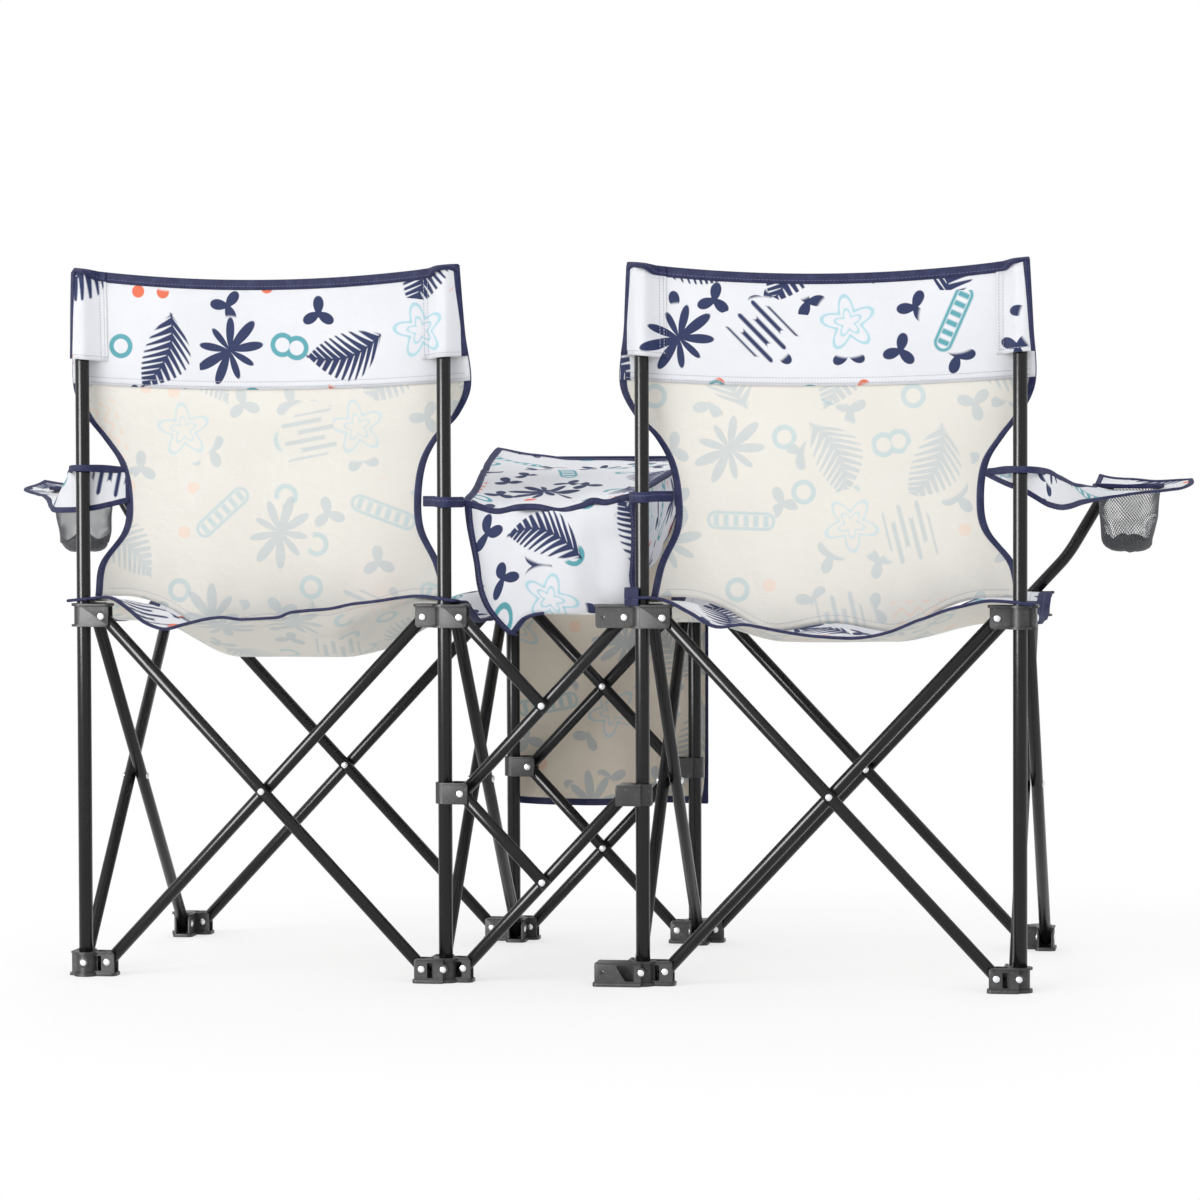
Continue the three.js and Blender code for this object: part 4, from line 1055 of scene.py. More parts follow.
def strip_skin(points, inwards, normals, width, thick):
    """A binding folded over an edge: a flat closed section swept along the points."""
    half = thick / 2
    upper = [
        (-1.1, 0.0), (-0.75, half * 0.72), (0.35, half), (width * 0.5, half * 1.02),
        (width - 0.7, half * 0.92), (width, half * 0.5),
    ]
    return sweep(points, upper + [(a, -b) for a, b in upper[:0:-1]], zip(inwards, normals))


def edge_place(edge, share):
    """The place (s, t) at a share of an edge, and a small step inward from it."""
    start, along, inward = EDGES[edge]
    place = (start[0] + along[0] * share, start[1] + along[1] * share)
    return *place, inward[0] * STEP, inward[1] * STEP


def normal_at(surface, s, t):
    across = surface(min(s + STEP, 1), t) - surface(max(s - STEP, 0), t)
    along = surface(s, min(t + STEP, 1)) - surface(s, max(t - STEP, 0))
    return across.cross(along).normalized()


def edge_strip(surface, edge, samples, width=7.5, thick=2.6, high=1.0):
    """Binding along one edge of a surface, from its start to the share given by high."""
    points, inwards, normals = [], [], []
    for k in range(samples + 1):
        s, t, ds, dt = edge_place(edge, high * (k / samples))
        points.append(surface(s, t))
        inwards.append((surface(s + ds, t + dt) - points[-1]).normalized())
        normals.append(normal_at(surface, s, t))
    return strip_skin(points, inwards, normals, width, thick)


def strap(rows, width, thick, samples):
    """A flat strap along a smooth curve through rows of x, y and z, standing on its lower edge."""
    table = [(k / (len(rows) - 1), *row) for k, row in enumerate(rows)]
    shares = [k / samples for k in range(samples + 1)]
    points = [Vector([read_table(table, share, column) for column in (1, 2, 3)]) for share in shares]
    ways = [points[min(k + 1, samples)] - points[max(k - 1, 0)] for k in range(samples + 1)]
    lower = [point - UP * (width / 2) for point in points]
    return strip_skin(lower, [UP] * len(points), [way.cross(UP).normalized() for way in ways], width, thick)


def stitches(surface, edge, inset, samples=160, low=0.02, high=0.98, side=1):
    """A row of short raised stitches along an edge of a cloth, on the side given by side."""
    parts, previous, run, drawn = [], None, 0.0, 0.0
    for k in range(samples + 1):
        s, t, ds, dt = edge_place(edge, mix(low, high, k / samples))
        reach = inset / (surface(s + ds, t + dt) - surface(s, t)).length
        s, t = s + ds * reach, t + dt * reach
        normal = normal_at(surface, s, t) * side
        point = surface(s, t) + normal * STITCH_LIFT
        previous = previous or point
        length = (point - previous).length
        while drawn + STITCH_PITCH <= run + length:
            drawn += STITCH_PITCH
            middle = previous.lerp(point, (drawn - run) / length)
            lead = (point - previous).normalized()
            aside, rise = lead.cross(normal).normalized() * STITCH_HALF, normal * STITCH_RISE
            ends = (middle - lead * (STITCH_LENGTH / 2), middle + lead * (STITCH_LENGTH / 2))
            rings = [[end - aside, end + rise, end + aside, end - rise] for end in ends]
            parts.append((*skin(rings), 0, None))
        run += length
        previous = point
    vertices, faces, _, uvs = join_pieces(parts)
    return vertices, faces, uvs


def make_binding(name, strips, cloth=BINDING):
    """Several binding strips as one piece."""
    vertices, faces, _, uvs = join_pieces([(strip[0], strip[1], 0, strip[2]) for strip in strips])
    return tidy_normals(make_object(name, vertices, faces, [cloth], None, uvs))


def finish_cloth(piece, node, body, size, extras):
    """Hangs the cloth and what lies on it on the body, after hiding its part if one is given; an extra given
    as (piece, body) hangs on that body and keeps its shape.
    """
    if node:
        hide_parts(node)
    for extra in [piece] + extras:
        stiff = isinstance(extra, tuple)
        item, rides = extra if stiff else (extra, body)
        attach(item, rides)
        if not stiff:
            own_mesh(item)


# Seats
SEAT_X = (INNER_X + OUTER_X) / 2
SEAT_LEVEL = HUB_TOP + RUNNING_GAP
SEAT_HALF = CHAIR_SPAN / 2
SEAT_REACH = SEAT_HALF + 15
SEAT_SAG = {"left": 68, "right": 48}
SEAT_CELLS = (72, 36)
# How far in from its sides the seat begins to sag, over what run, and how far in its rear edge shapes it
SAG_START, SAG_RUN, EDGE_RUN = 38, 110, 62
END_DROP, SIDE_DROP, FOLD_DEPTH = 34, 26, 5
# Heights of the rear edge from the outer post (0) to the inner post (1)
REAR_EDGES = {
    "left": [
        (0, 430), (0.04, 432), (0.08, 435), (0.114, 434), (0.157, 422), (0.2, 406), (0.249, 399),
        (0.298, 403), (0.395, 413), (0.46, 410), (0.546, 411), (0.578, 417), (0.686, 422), (0.75, 428),
        (0.837, 435), (0.913, 436), (1, 431),
    ],
    "right": [
        (0, 429), (0.1, 433), (0.19, 425), (0.27, 412), (0.35, 397), (0.45, 391), (0.53, 391), (0.62, 398),
        (0.7, 405), (0.78, 404), (0.845, 420), (0.92, 434), (1, 436),
    ],
}
TAB_WIDTH, TAB_THICK, TAB_LEVEL = 20, 3.0, SEAT_LEVEL + 9
CORNER_TAB = [
    (18.5 - INNER_X, REAR_Y + 5, TAB_LEVEL), (9 - INNER_X, REAR_Y + 13, TAB_LEVEL + 0.5),
    (2 - INNER_X, REAR_Y + 14.5, TAB_LEVEL),
]


def sag_share(distance):
    return ramp((SEAT_HALF - SAG_START - abs(distance)) / SAG_RUN)


def seat_height(x, y, sag):
    """Height of the seat at a place of the left chair; y is measured from the crease."""
    across, along = sag_share(x - SEAT_X), sag_share(y)
    folds = FOLD_DEPTH * math.cos(3 * math.pi * (x - SEAT_X) / SEAT_HALF) * across * (1 - along)
    drop = END_DROP * across * (1 - along) + SIDE_DROP * (1 - across) * along
    return SEAT_LEVEL - sag * across * along - drop + folds


def seat_point(hand, direction, s, t):
    """s runs from the inner side to the outer side, t from the crease to the rear (1) or front (-1) edge."""
    x, y = SEAT_X + (2 * s - 1) * SEAT_REACH, direction * SEAT_REACH * t
    sag = SEAT_SAG[hand]
    base = seat_height(x, y, sag)
    near = ramp((y - SEAT_REACH + EDGE_RUN) / EDGE_RUN)
    base += (read_table(REAR_EDGES[hand], 1 - s) - seat_height(x, SEAT_REACH, sag)) * near
    crease = 1.4 * wobble(x * 0.012, y * 0.03, 3.1 if hand == "left" else 8.4)
    crease += 2.2 * wobble(x * 0.03, y * 0.008, 1.7) * (1 - sag_share(y))
    return Vector((x, MIDDLE_Y + y, base + 1.2 + crease))


for hand, sign in HANDS:
    for end, direction in (("rear", 1), ("front", -1)):
        seat = on_chair(partial(seat_point, hand, direction), sign, direction < 0)
        name = f"{hand}_{end}_seat"
        shift = (0.31 if hand == "left" else 0.93, 0.0 if end == "rear" else 0.37)
        cloth = make_cloth(f"{name}_cloth", seat, SEAT_CELLS, PRINT_OUT, CLOTH_THICK, shift)
        strips = [edge_strip(seat, "top", 90, 9, 3.4)]
        strips += [edge_strip(seat, edge, 40, 15, 3.0) for edge in ("left", "right")]
        if name == "right_rear_seat":
            strips.append(strap(CORNER_TAB, TAB_WIDTH, TAB_THICK, 12))
        rows = [stitches(seat, "top", 19, side=side) for side in (1, -1)]
        rows += [stitches(seat, edge, 24) for edge in ("left", "right")]
        extras = [make_binding(f"{name}_binding", strips), make_binding(f"{name}_stitches", rows, THREAD)]
        half = f"{hand}_seat_{end}_half"
        finish_cloth(cloth, half, half, cloth_size(seat), extras)


# Backrests
# How far the outer and the inner side edge draw in at each share of the height, as shares of the waists
BACK_EDGES = [
    (0, 0.03, 0.12), (0.1, 0.2, 0.4), (0.2, 0.86, 0.92), (0.29, 1, 1), (0.405, 0.86, 0.8),
    (0.485, 0.42, 0.32), (0.55, -0.02, -0.35), (0.64, -0.35, -0.79), (0.8, -0.3, -0.62),
    (1, -0.21, -0.47),
]
INNER_WAIST, OUTER_WAIST = 34, 43
BACK_LEAN, BACK_BULGE, TOP_SAG = 36, 7, 15
BACK_CELLS, BAND_CELLS, SLEEVE_CELLS = (76, 72), (76, 18), (30, 22)
BACK_FACE_Y = REAR_Y - POST_RADIUS - 0.5
SLEEVE_LOW, SLEEVE_WIDTH, SLEEVE_PROUD = BACK_POST_TOP - 98, 27, 2.2
# The band's hem, its sag, and the upper share of the backrest that finds the hem's place
BAND_HEM, BAND_SAG, BAND_SHARE = 681, 9, 0.34


def back_point(hand, s, t, lift=0.0):
    """s runs from the inner side to the outer side, t from the seat to the top."""
    inner = INNER_X + INNER_WAIST * read_table(BACK_EDGES, t, 2)
    outer = OUTER_X - OUTER_WAIST * read_table(BACK_EDGES, t, 1)
    x = mix(inner, outer, s)
    y = BACK_FACE_Y - BACK_LEAN * (1 - t) ** 1.3 + BACK_BULGE * arch(s) * (1 - t)
    foot = seat_height(x, y - MIDDLE_Y, SEAT_SAG[hand]) + 7
    z = mix(foot, BACK_TOP - 1.2 - TOP_SAG * arch(s), t)
    ripple = 2.0 * wobble(x * 0.02, z * 0.006, 5.5 if hand == "left" else 2.2) * (0.3 + (1 - t) * arch(s))
    pull = 1.2 * math.sin(x * 0.09 + z * 0.02) * bell(t, 0.05, 0.12)
    return Vector((x, y + ripple + pull - 1.2 + lift, z))


def band_point(hand, s, t):
    """The printed band above the backrest's hem, which sags a little in the middle."""
    low, top = back_point(hand, s, 1 - BAND_SHARE).z, back_point(hand, s, 1).z
    start = 1 - BAND_SHARE * (top - BAND_HEM + BAND_SAG * arch(s)) / (top - low)
    return back_point(hand, s, mix(start, 1, t), 1.5)


def sleeve_point(hand, corner, s, t):
    """A sleeve over the inner or outer post, from its mouth to the top."""
    level = mix((SLEEVE_LOW - SEAT_LEVEL) / (BACK_TOP - SEAT_LEVEL), 1, t)
    inner, outer = back_point(hand, 0, level).x, back_point(hand, 1, level).x
    if corner == "outer":
        post, x = OUTER_X, mix(OUTER_X - SLEEVE_WIDTH, outer, s)
    else:
        post, x = INNER_X, mix(inner, INNER_X + SLEEVE_WIDTH, s)
    point = back_point(hand, (x - inner) / (outer - inner), level, 2.9)
    over = 1 - ramp((abs(x - post) - 3) / 17.5)
    closed = 1 - 0.86 * ramp((point.z - BACK_POST_TOP - 0.5) / 5.5)
    point.y += over * closed * (REAR_Y + POST_RADIUS + SLEEVE_PROUD - point.y)
    return point


for hand, sign in HANDS:
    main = on_chair(partial(back_point, hand), sign, True)
    band = on_chair(partial(band_point, hand), sign, True)
    place = (1.7, 0.2) if hand == "left" else (2.93, 0.31)
    band_place = (place[0] + 1.27, 0.7)
    cloth = make_cloth(f"{hand}_back_cloth", main, BACK_CELLS, PRINT_OUT[::-1], CLOTH_THICK, place, True)
    upper = make_cloth(f"{hand}_back_band", band, BAND_CELLS, PRINT_OUT, UPPER_THICK, band_place, True)
    strips = [edge_strip(main, edge, 80, thick=3.2) for edge in ("left", "right")]
    strips.append(edge_strip(main, "top", 80, 11, 6.4))
    extras = [upper, make_binding(f"{hand}_back_binding", strips)]
    for corner, flip in (("inner", 1), ("outer", -1)):
        sleeve = on_chair(partial(sleeve_point, hand, corner), sign, True)
        name, rides = f"{hand}_{corner}_sleeve", f"{hand}_{corner}_rear_corner"
        outside, inside = ("right", "left") if flip == sign else ("left", "right")
        strips = [edge_strip(sleeve, outside, 24, 8, 4.0), edge_strip(sleeve, "top", 24, 10, 4.6)]
        seams = ((inside, 3), (inside, 8), ("bottom", 5))
        rows = [stitches(sleeve, edge, inset, 60) for edge, inset in seams]
        extras += [
            (make_cloth(name, sleeve, SLEEVE_CELLS, PRINT_OUT, UPPER_THICK, band_place, True), rides),
            (make_binding(f"{name}_binding", strips), rides),
            (make_binding(f"{name}_stitches", rows, THREAD), rides),
        ]
    rows = [stitches(band, "bottom", inset, 240, 0.01, 0.99) for inset in (3, 9)]
    rows.append(stitches(main, "bottom", 9, 240, 0.03, 0.97))
    extras.append(make_binding(f"{hand}_band_stitches", rows, THREAD))
    body = f"{hand}_inner_rear_corner"
    finish_cloth(cloth, f"{hand}_backrest", body, cloth_size(main), extras)


# Armrests with net cup holders
# Along the armrest: share, forward from the post, inner and outer edge outside the post, height of both edges
ARM_FRONT_ROWS = [
    (0.6, 262, 62, 138, 559, 553), (0.72, 325, 66, 172, 558, 557), (0.86, 384, 68, 182, 562, 561),
    (1.0, 437, 70, 181, 572, 567),
]
ARM_ROWS = {
    "left": [
        (0.0, 31, -46, -46, 583, 545), (0.07, 15, -20, -20, 586, 538), (0.13, 13, 2, 3, 586, 534),
        (0.22, 40, 26, 44, 584, 533), (0.34, 95, 42, 68, 575, 537), (0.47, 175, 54, 98, 565, 547),
    ] + ARM_FRONT_ROWS,
    "right": [
        (0.0, 31, -42, -42, 577, 573), (0.07, 15, -19, -19, 581, 562), (0.13, 13, 2, 3, 581, 553),
        (0.22, 42, 24, 30, 579, 537), (0.34, 100, 38, 48, 571, 534), (0.47, 180, 52, 76, 562, 543),
    ] + ARM_FRONT_ROWS,
}
ARM_LEVEL, ARM_SAG, ARM_STRAP = 562, 5, 6.5
ARM_COLUMNS, ARM_LINES, ARM_THICK = 44, 120, 1.6
# Where the armrest's strap runs round the post: outward, back and up from it
ARM_STRAP_RUN = [
    (-37, -25, -1), (-19, -8, 0), (-9, 7, 1), (0, 10.6, 1), (9, 7, 1), (19, -12, 0), (25, -40, -1),
]
CUP_TOP_RADIUS, CUP_LOW_RADIUS, CUP_DEPTH, CUP_HOLE = 37, 29, 76, 36
CUP_X, CUP_Y = OUTER_X + 107, FRONT_Y + 62
CUP_SEED = {"left": 0.0, "right": 2.4}
# Meshes round and down the net, its yarn in metres, and how far it ends above the cup's lowest place
NET_AROUND, NET_LEVELS, YARN_THICK, NET_SHORT = 60, 30, 0.0009, 9
BASE_SIDES, BASE_WALL = 48, 1.2
# The cup's cloth base from its top to its floor: share of the radius, and height
BASE_PROFILE = [(1.02, 15), (1.0, 11), (0.95, 6), (0.85, 2), (0.68, -0.8), (0.45, -1.8), (0.18, -1.0)]


def arm_point(hand, s, t):
    """s runs from the inner side to the outer side, t from the rear to the front."""
    rows = ARM_ROWS[hand]
    forward, inner, outer, inner_z, outer_z = (read_table(rows, t, column) for column in range(1, 6))
    x = OUTER_X + mix(inner, outer, s)
    sag = ARM_SAG * arch(s) * ramp((t - 0.3) / 0.3)
    crease = 1.8 * wobble(x * 0.03, t * 9, 4.0 if hand == "left" else 9.0) * ramp((t - 0.1) / 0.2)
    return Vector((x, REAR_Y - forward, mix(inner_z, outer_z, s) - sag + crease))


def flat_ring(centre, radius, width, thick, sides, wave):
    """A bound ring lying flat, such as the edge of a hole in cloth."""
    half = thick / 2
    section = [(0, -half), (width, -half), (width + 0.6, 0), (width, half), (0, half), (-0.6, 0)]
    points, outwards = [], []
    for k in range(sides):
        angle = math.tau * k / sides
        outwards.append(Vector((math.cos(angle), math.sin(angle), 0)))
        points.append(centre + outwards[-1] * radius + UP * (wave * math.sin(2 * angle + 0.6)))
    return sweep(points, section, [(outward, UP) for outward in outwards], True)


def around(centre, angle, radius, z):
    return Vector((centre.x + radius * math.cos(angle), centre.y + radius * math.sin(angle), z))


def round_wobble(angle, spread, third):
    return wobble(math.cos(angle) * spread, math.sin(angle) * spread, third)


def net_cup(name, centre, seed):
    """A knitted net cup: rhombic meshes on a tapering, slightly crumpled wall."""
    vertices, faces = [], []
    for j in range(NET_LEVELS + 1):
        drop = j / NET_LEVELS
        for k in range(NET_AROUND):
            angle = math.tau * (k + 0.5 * (j % 2)) / NET_AROUND
            crumple = 1 + 0.07 * math.sin(3 * angle + 5 * drop + seed) * drop
            crumple += 0.05 * round_wobble(angle, 1.6, drop * 3 + seed)
            lift = 4 * round_wobble(angle, 2, drop * 3 + seed) * drop
            radius = mix(CUP_TOP_RADIUS, CUP_LOW_RADIUS, drop**1.4) * crumple
            vertices.append(around(centre, angle, radius, centre.z - (CUP_DEPTH - NET_SHORT) * drop + lift))
    for j in range(NET_LEVELS - 1):
        upper, middle, lower = (level * NET_AROUND for level in (j, j + 1, j + 2))
        for k in range(NET_AROUND):
            left = (k - 1) % NET_AROUND if j % 2 == 0 else k
            faces.append((upper + k, middle + (left + 1) % NET_AROUND, lower + k, middle + left))
    wall = make_object(name, vertices, faces, [NET])
    wires = wall.modifiers.new("yarn", "WIREFRAME")
    wires.thickness = YARN_THICK
    wires.use_even_offset = False
    return wall


def cup_base(name, centre, seed):
    """The crumpled cloth bottom of the net cup: from the inner floor over the rim to the outer floor."""
    rings = []
    for wall, path in ((BASE_WALL, BASE_PROFILE[::-1]), (0, BASE_PROFILE)):
        for share, lift in path:
            points = []
            for k in range(BASE_SIDES):
                angle = math.tau * k / BASE_SIDES
                wave = round_wobble(angle, 2.2, lift * 0.05 + seed)
                crumple = 1 + 0.07 * math.sin(3 * angle + 4 + seed) + 0.09 * wave
                edge = 3.5 * math.sin(4 * angle + seed) * ramp((lift - 6) / 9)
                z = centre.z - CUP_DEPTH + lift + wall * 0.8 + edge + 2.5 * wave
                points.append(around(centre, angle, max(CUP_LOW_RADIUS * share * crumple - wall, 1.0), z))
            rings.append(points)
    return tidy_normals(make_object(name, *skin(rings), [CUP_CLOTH]))


def arm_cloth(name, arm, centre, uv_shift):
    """The armrest's cloth with a round hole for the cup, whose edge is closed and drawn to a circle."""
    vertices, faces, _, uvs = cloth_skin(arm, ARM_COLUMNS, ARM_LINES, ARM_THICK, uv_shift)

    def from_cup(point):
        return math.hypot(point.x - centre.x, point.y - centre.y)

    def middle(face):
        return sum((vertices[v] for v in face), Vector()) / len(face)

    faces = [face for face in faces if from_cup(middle(face)) > CUP_HOLE]
    layer = (ARM_COLUMNS + 1) * (ARM_LINES + 1)
    edges = {(face[k - 1], face[k]) for face in faces for k in range(len(face))}
    for first, second in sorted(edges):
        if (second, first) not in edges and first < layer and second < layer:
            faces.append((second, first, first + layer, second + layer))
    used = {}
    for face in faces:
        for v in face:
            used.setdefault(v, len(used))
    drawn = []
    for v in used:
        point = vertices[v].copy()
        distance = from_cup(point)
        if 1 < distance < CUP_HOLE + 3:
            out = (point - centre) * ((CUP_HOLE + 0.5 + (distance - CUP_HOLE + 3) * 0.3) / distance)
            point.x, point.y = centre.x + out.x, centre.y + out.y
        drawn.append(point)
    faces = [tuple(used[v] for v in face) for face in faces]
    return make_object(name, drawn, faces, [PRINTED], None, [uvs[v] for v in used])


for hand, sign in HANDS:
    arm = on_chair(partial(arm_point, hand), sign)
    centre = Vector((sign * CUP_X, CUP_Y, ARM_LEVEL - 3))
    cloth = arm_cloth(f"{hand}_arm_cloth", arm, centre, (4.1 + sign, 0.6))
    strips = [edge_strip(arm, edge, 110, 5.5, 3.2) for edge in ("left", "right")]
    strips += [edge_strip(arm, "top", 40, 8, 4.0), edge_strip(arm, "bottom", 12, 5, 3.2)]
    strips.append(flat_ring(centre, CUP_HOLE - 2.5, 8.5, 4.4, 64, 0.8))
    trim = make_binding(f"{hand}_arm_binding", strips)
    high = ARM_ROWS[hand][1][4] - ARM_STRAP / 2
    post, body = CORNERS[f"{hand}_outer_rear"], f"{hand}_outer_rear_corner"
    run = [(post.x + sign * x, post.y + y, high + z) for x, y, z in ARM_STRAP_RUN]
    loop = make_binding(f"{hand}_arm_strap", [strap(run, ARM_STRAP, 2.4, 48)])
    cup = net_cup(f"{hand}_cup_net", centre, CUP_SEED[hand])
    base = cup_base(f"{hand}_cup_base", centre, CUP_SEED[hand])
    extras = [trim, cup, base, (loop, body)]
    finish_cloth(cloth, f"{hand}_armrest", body, cloth_size(arm), extras)


# Console bag between the chairs
BAG_REAR_Y = REAR_Y - 27
BAG_FRONT_Y = FRONT_Y + 11 + LANE
LID_REAR, LID_FRONT, LID_FRONT_HALF = 541, 606, INNER_X + 16
BAG_HALF, BAG_BASE_HALF, BAG_DEPTH, BAG_PUFF, BAG_STRAP = 96, 68, 128, 9, 11
# Where round the bag's section its two lower corners are
CORNER_LEFT, CORNER_RIGHT = 0.38, 0.64
LID_WAVE = [(0, 2), (0.08, -1), (0.2, -7), (0.33, -1), (0.45, 1), (0.58, -5), (0.7, 1), (0.85, 6), (1, 9)]
WAVE_SHARE = 0.9
# The pocket that seats the lid on a front post, from its inner top over the mouth: radius and height
CAP_PROFILE = [
    (8.7, 0.0), (8.7, -24), (10.0, -24), (10.4, -14), (10.5, -4), (9.8, 1.2), (6.5, 2.6), (2.0, 3.0),
]
CAP_SIDES, CAP_LIFT = 28, 1.2
# Where the console's tie runs round the rear post: outward from the post, y, and lift
TIE_RUN = [
    (BAG_HALF - INNER_X, BAG_REAR_Y + 4, 0), (-11, REAR_Y - 3, 0), (-6, REAR_Y + 8.6, 0),
    (5, REAR_Y + 9.2, 0), (12, REAR_Y - 2, 1), (30, BACK_FACE_Y - 24, 1),
]
TIE_LIFT = {"left": 3, "right": 8}


def lid_half(t):
    return mix(BAG_HALF + 2, LID_FRONT_HALF, ramp(t))


def lid_point(s, t):
    """s runs from the sitter's left to the right, t from the rear edge to the front edge."""
    x = mix(lid_half(t), -lid_half(t), s)
    y = mix(BAG_REAR_Y + 2, BAG_FRONT_Y - 4, t)
    z = mix(LID_REAR, LID_FRONT, t) + read_table(LID_WAVE, s) * (1 - ramp(t / 0.35)) * WAVE_SHARE
    z -= arch(s) * (4 + 9 * ramp((t - 0.5) / 0.5) + 3 * math.sin(t * 9))
    z += 2.2 * wobble(x * 0.025, y * 0.02, 6.0) - 8 * ramp((s - 0.5) * 2) * ramp((t - 0.7) / 0.3)
    fold = bell(s * 0.8 + t * 1.1, 0.62, 0.035) - 0.7 * bell(s * 0.8 + t * 1.1, 0.7, 0.05)
    return Vector((x, y, z + 3.5 * fold * (1 - t)))


def bag_outline(u, y):
    """The bag's section at y: u runs down the left side, along the bottom and up the right side."""
    forward = clamp((BAG_REAR_Y - y) / (BAG_REAR_Y - BAG_FRONT_Y))
    top = mix(LID_REAR, LID_FRONT, forward)
    low = top - BAG_DEPTH - BAG_PUFF * arch(forward)
    droop = bell(forward, 0.0, 0.22)
    rows = [
        (0, BAG_HALF - 2 * droop, top - 3), (0.1, BAG_HALF + 3 - 9 * droop, top - 30),
        (0.2, BAG_HALF - 1 - 12 * droop, top - 66),
        (0.28, BAG_HALF - 6 - 12 * droop, top - mix(84, 98, droop)),
        (0.33, mix(82, 67, droop), low + mix(22, 6, droop)),
        (CORNER_LEFT, mix(BAG_BASE_HALF, 42, droop), low + 6 - 25 * droop),
        (0.44, mix(34, 24, droop), low + 4 - 6 * droop), (0.5, mix(8, 2, droop), low + 4),
        (CORNER_RIGHT, -BAG_BASE_HALF - 2 - 26 * droop, low + 6),
        (0.76, -BAG_HALF + 4 - 9 * droop, top - 78), (0.88, -BAG_HALF - 3 - 5 * droop, top - 38),
        (1, -BAG_HALF - 6 * droop, top - 3),
    ]
    return Vector((read_table(rows, u, 1), read_table(rows, u, 2)))


def lid_level(x, y):
    """Height of the lid above a place of the bag."""
    t = clamp((BAG_REAR_Y + 2 - y) / (BAG_REAR_Y - BAG_FRONT_Y + 6))
    return lid_point(clamp((lid_half(t) - x) / (2 * lid_half(t))), t).z


def wrap_point(u, t):
    """The bag's sides and bottom, which tuck in under the lid."""
    y = mix(BAG_REAR_Y, BAG_FRONT_Y, t)
    x, z = bag_outline(1 - u, y)
    near_lid = ramp(1 - min(u, 1 - u) / 0.1)
    lump = 2.5 * wobble(x * 0.03, y * 0.02, z * 0.02) * (1 - near_lid)
    z += near_lid * (min(z, lid_level(x, y) - 5) - z)
    return Vector((x + lump, y, z + lump))


def bag_back_point(s, t):
    """The face toward the rear: s from left to right, t from the bottom to the lid."""
    outline = partial(bag_outline, y=BAG_REAR_Y)
    left, right = outline(mix(CORNER_LEFT, 0.0, t)), outline(mix(CORNER_RIGHT, 1.0, t))
    foot = outline(mix(CORNER_LEFT, CORNER_RIGHT, s))
    straight = mix(outline(CORNER_LEFT), outline(CORNER_RIGHT), s)
    x, z = mix(left, right, s) + (foot - straight) * (1 - t) ** 2
    z += read_table(LID_WAVE, s) * t * t * WAVE_SHARE
    bulge = 13 * arch(s) ** 0.7 * arch(t) ** 0.8
    dent = 9 * bell(s, 0.8, 0.12) * bell(t, 0.5, 0.3) + 6 * bell(s - 0.25 * t, 0.12, 0.06) * t
    dent += 4 * bell(s + 0.5 * t, 0.9, 0.06)
    fold = 3.5 * math.sin(x * 0.07 + z * 0.02) * (1 - t) * arch(s) + 2.5 * wobble(x * 0.03, z * 0.03, 2.0)
    return Vector((x, BAG_REAR_Y + bulge + fold * 0.8 - dent, z))


lid = make_cloth("console_lid", lid_point, (56, 84), PRINT_OUT, LID_THICK, (7.3, 0.2))
wrap = make_cloth("console_wrap", wrap_point, (130, 60), PRINT_OUT, HEAVY_THICK, (8.6, 0.5))
back = make_cloth("console_back", bag_back_point, (64, 44), PRINT_OUT, HEAVY_THICK, (9.86, 0.4))
strips = [edge_strip(lid_point, edge, 80, thick=4.6) for edge in ("left", "right", "top")]
strips.append(edge_strip(lid_point, "bottom", 90, 9, 7.0))
strips += [edge_strip(bag_back_point, edge, 80, 8, 4.0) for edge in ("left", "right")]
strips += [edge_strip(bag_back_point, "bottom", 90, 6, 3.0, 0.45), edge_strip(wrap_point, "top", 110)]
rows = [stitches(lid_point, edge, 12, low=0.06, high=0.94) for edge in EDGES]
extras = [make_binding("console_binding", strips), make_binding("console_stitches", rows, THREAD)]
caps = []
for hand, sign in HANDS:
    top = CORNERS[f"{hand}_inner_front"] + UP * (FRONT_POST_TOP + CAP_LIFT)
    rings = [ring(top + UP * lift, X_AXIS, Y_AXIS, radius, CAP_SIDES) for radius, lift in CAP_PROFILE]
    caps.append((make_binding(f"{hand}_lid_cap", [(*skin(rings), None)]), f"{hand}_inner_front_corner"))
    post = CORNERS[f"{hand}_inner_rear"]
    level = LID_REAR + TIE_LIFT[hand]
    run = [(post.x + sign * x, y, level + lift) for x, y, lift in TIE_RUN]
    tie = make_binding(f"{hand}_console_tie", [strap(run, BAG_STRAP, 2.6, 48)])
    extras.append((tie, f"{hand}_inner_rear_corner"))
body = "console_bag"
finish_cloth(lid, None, body, cloth_size(lid_point), extras)
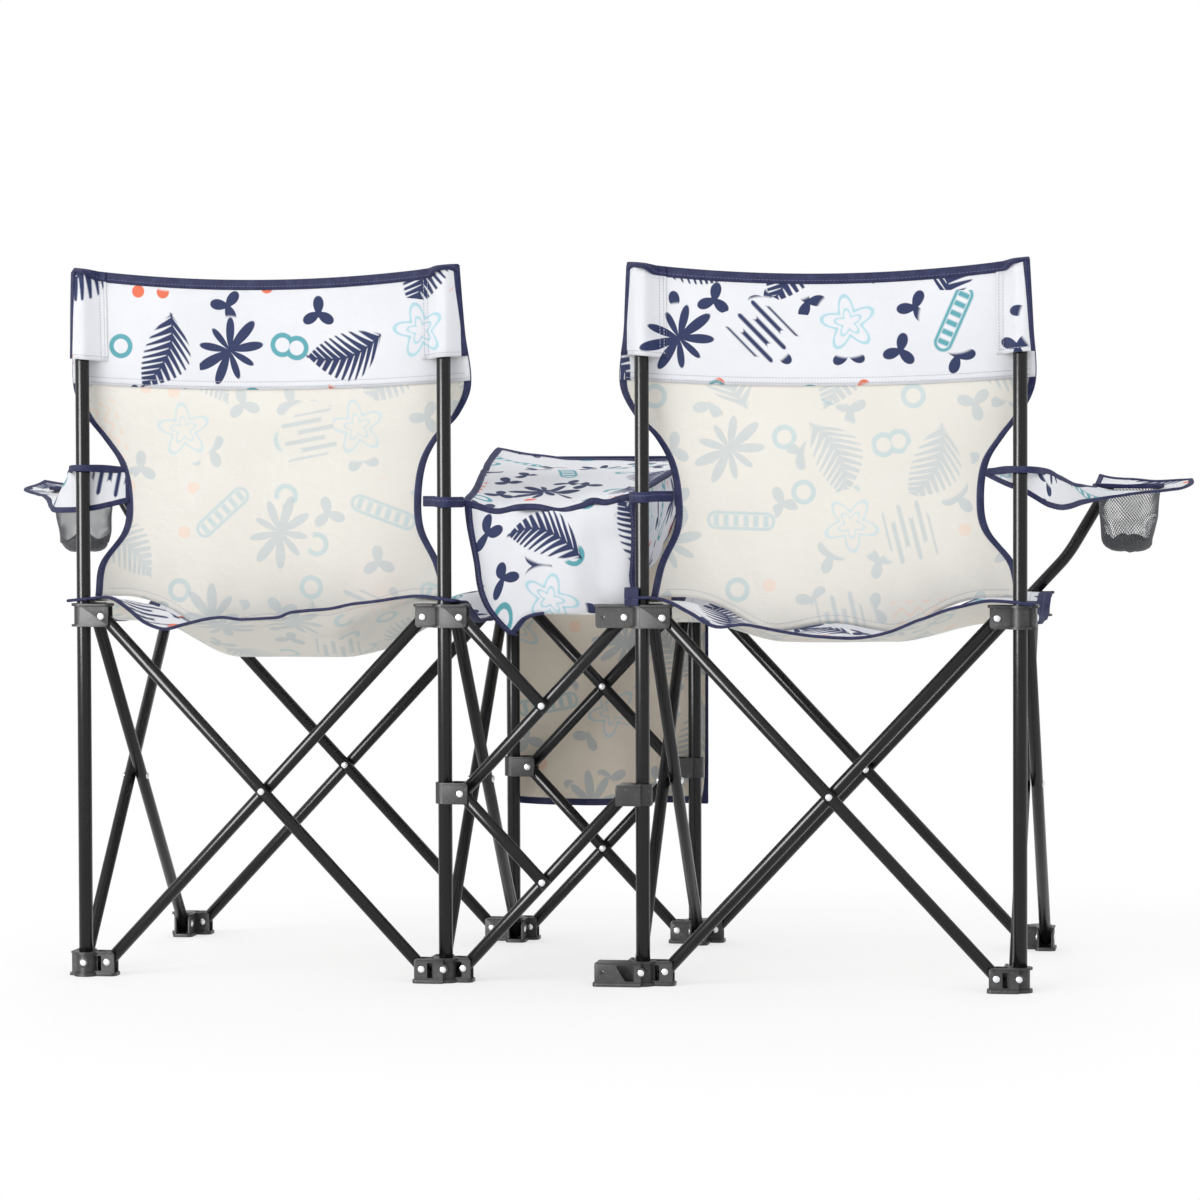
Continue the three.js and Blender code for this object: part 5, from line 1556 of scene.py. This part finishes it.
finish_cloth(wrap, "console_bag", body, cloth_size(wrap_point), [back] + caps)


# Front panel, hung from the inner front posts
PANEL_Y = FRONT_Y - LANE - TUBE_RADIUS - FORK_WALL - 2 * RUNNING_GAP - 0.8 - 2.5
PANEL_LOW, PANEL_HIGH, PANEL_HALF = 168, 596, INNER_X + 12
PANEL_LOOP, PANEL_BELLY, PANEL_PROUD = 22, 16, 5.2
# Where a loop of the panel runs round its post: sideways and back from the post
LOOP_RUN = [(-9.5, -9), (-8, 5), (0, 9.8), (8, 5), (9.5, -9)]


def panel_point(s, t):
    """s runs from the sitter's right to the left, t from the hem to the loops."""
    x, z = (2 * s - 1) * PANEL_HALF, mix(PANEL_LOW, PANEL_HIGH, t)
    wave = 4 * math.sin(5 * math.pi * s) * (1 - t) ** 1.5
    hem = 2.5 * math.sin(2 * math.pi * s + 0.6) * (1 - t) ** 3
    drape = 1.5 * wobble(x * 0.015, z * 0.006, 7.0)
    belly = PANEL_BELLY * math.sqrt(arch(s)) * math.sin(math.pi * t) ** 0.8
    return Vector((x, PANEL_Y - PANEL_PROUD + wave + drape - belly, z + hem))


print_front = [PRINTED, PANEL_REVERSE]
panel = make_cloth("front_panel_cloth", panel_point, (60, 80), print_front, HEAVY_THICK, (12.2, 0.1))
strips = [edge_strip(panel_point, edge, 80, thick=3.4) for edge in EDGES]
rows = [stitches(panel_point, edge, 13) for edge in EDGES]
extras = [make_binding("front_panel_binding", strips), make_binding("front_panel_stitches", rows, THREAD)]
for hand, _ in HANDS:
    post, level = CORNERS[f"{hand}_inner_front"], PANEL_HIGH - PANEL_LOOP - 4
    run = [(post.x + x, post.y + y, level) for x, y in LOOP_RUN]
    run = [(post.x - 6, PANEL_Y - 3, level)] + run + [(post.x + 6, PANEL_Y - 3, level)]
    loop = make_binding(f"{hand}_panel_loop", [strap(run, PANEL_LOOP, 2.2, 48)])
    extras.append((loop, f"{hand}_inner_front_corner"))
body = "left_inner_front_corner"
finish_cloth(panel, "front_panel", body, cloth_size(panel_point), extras)
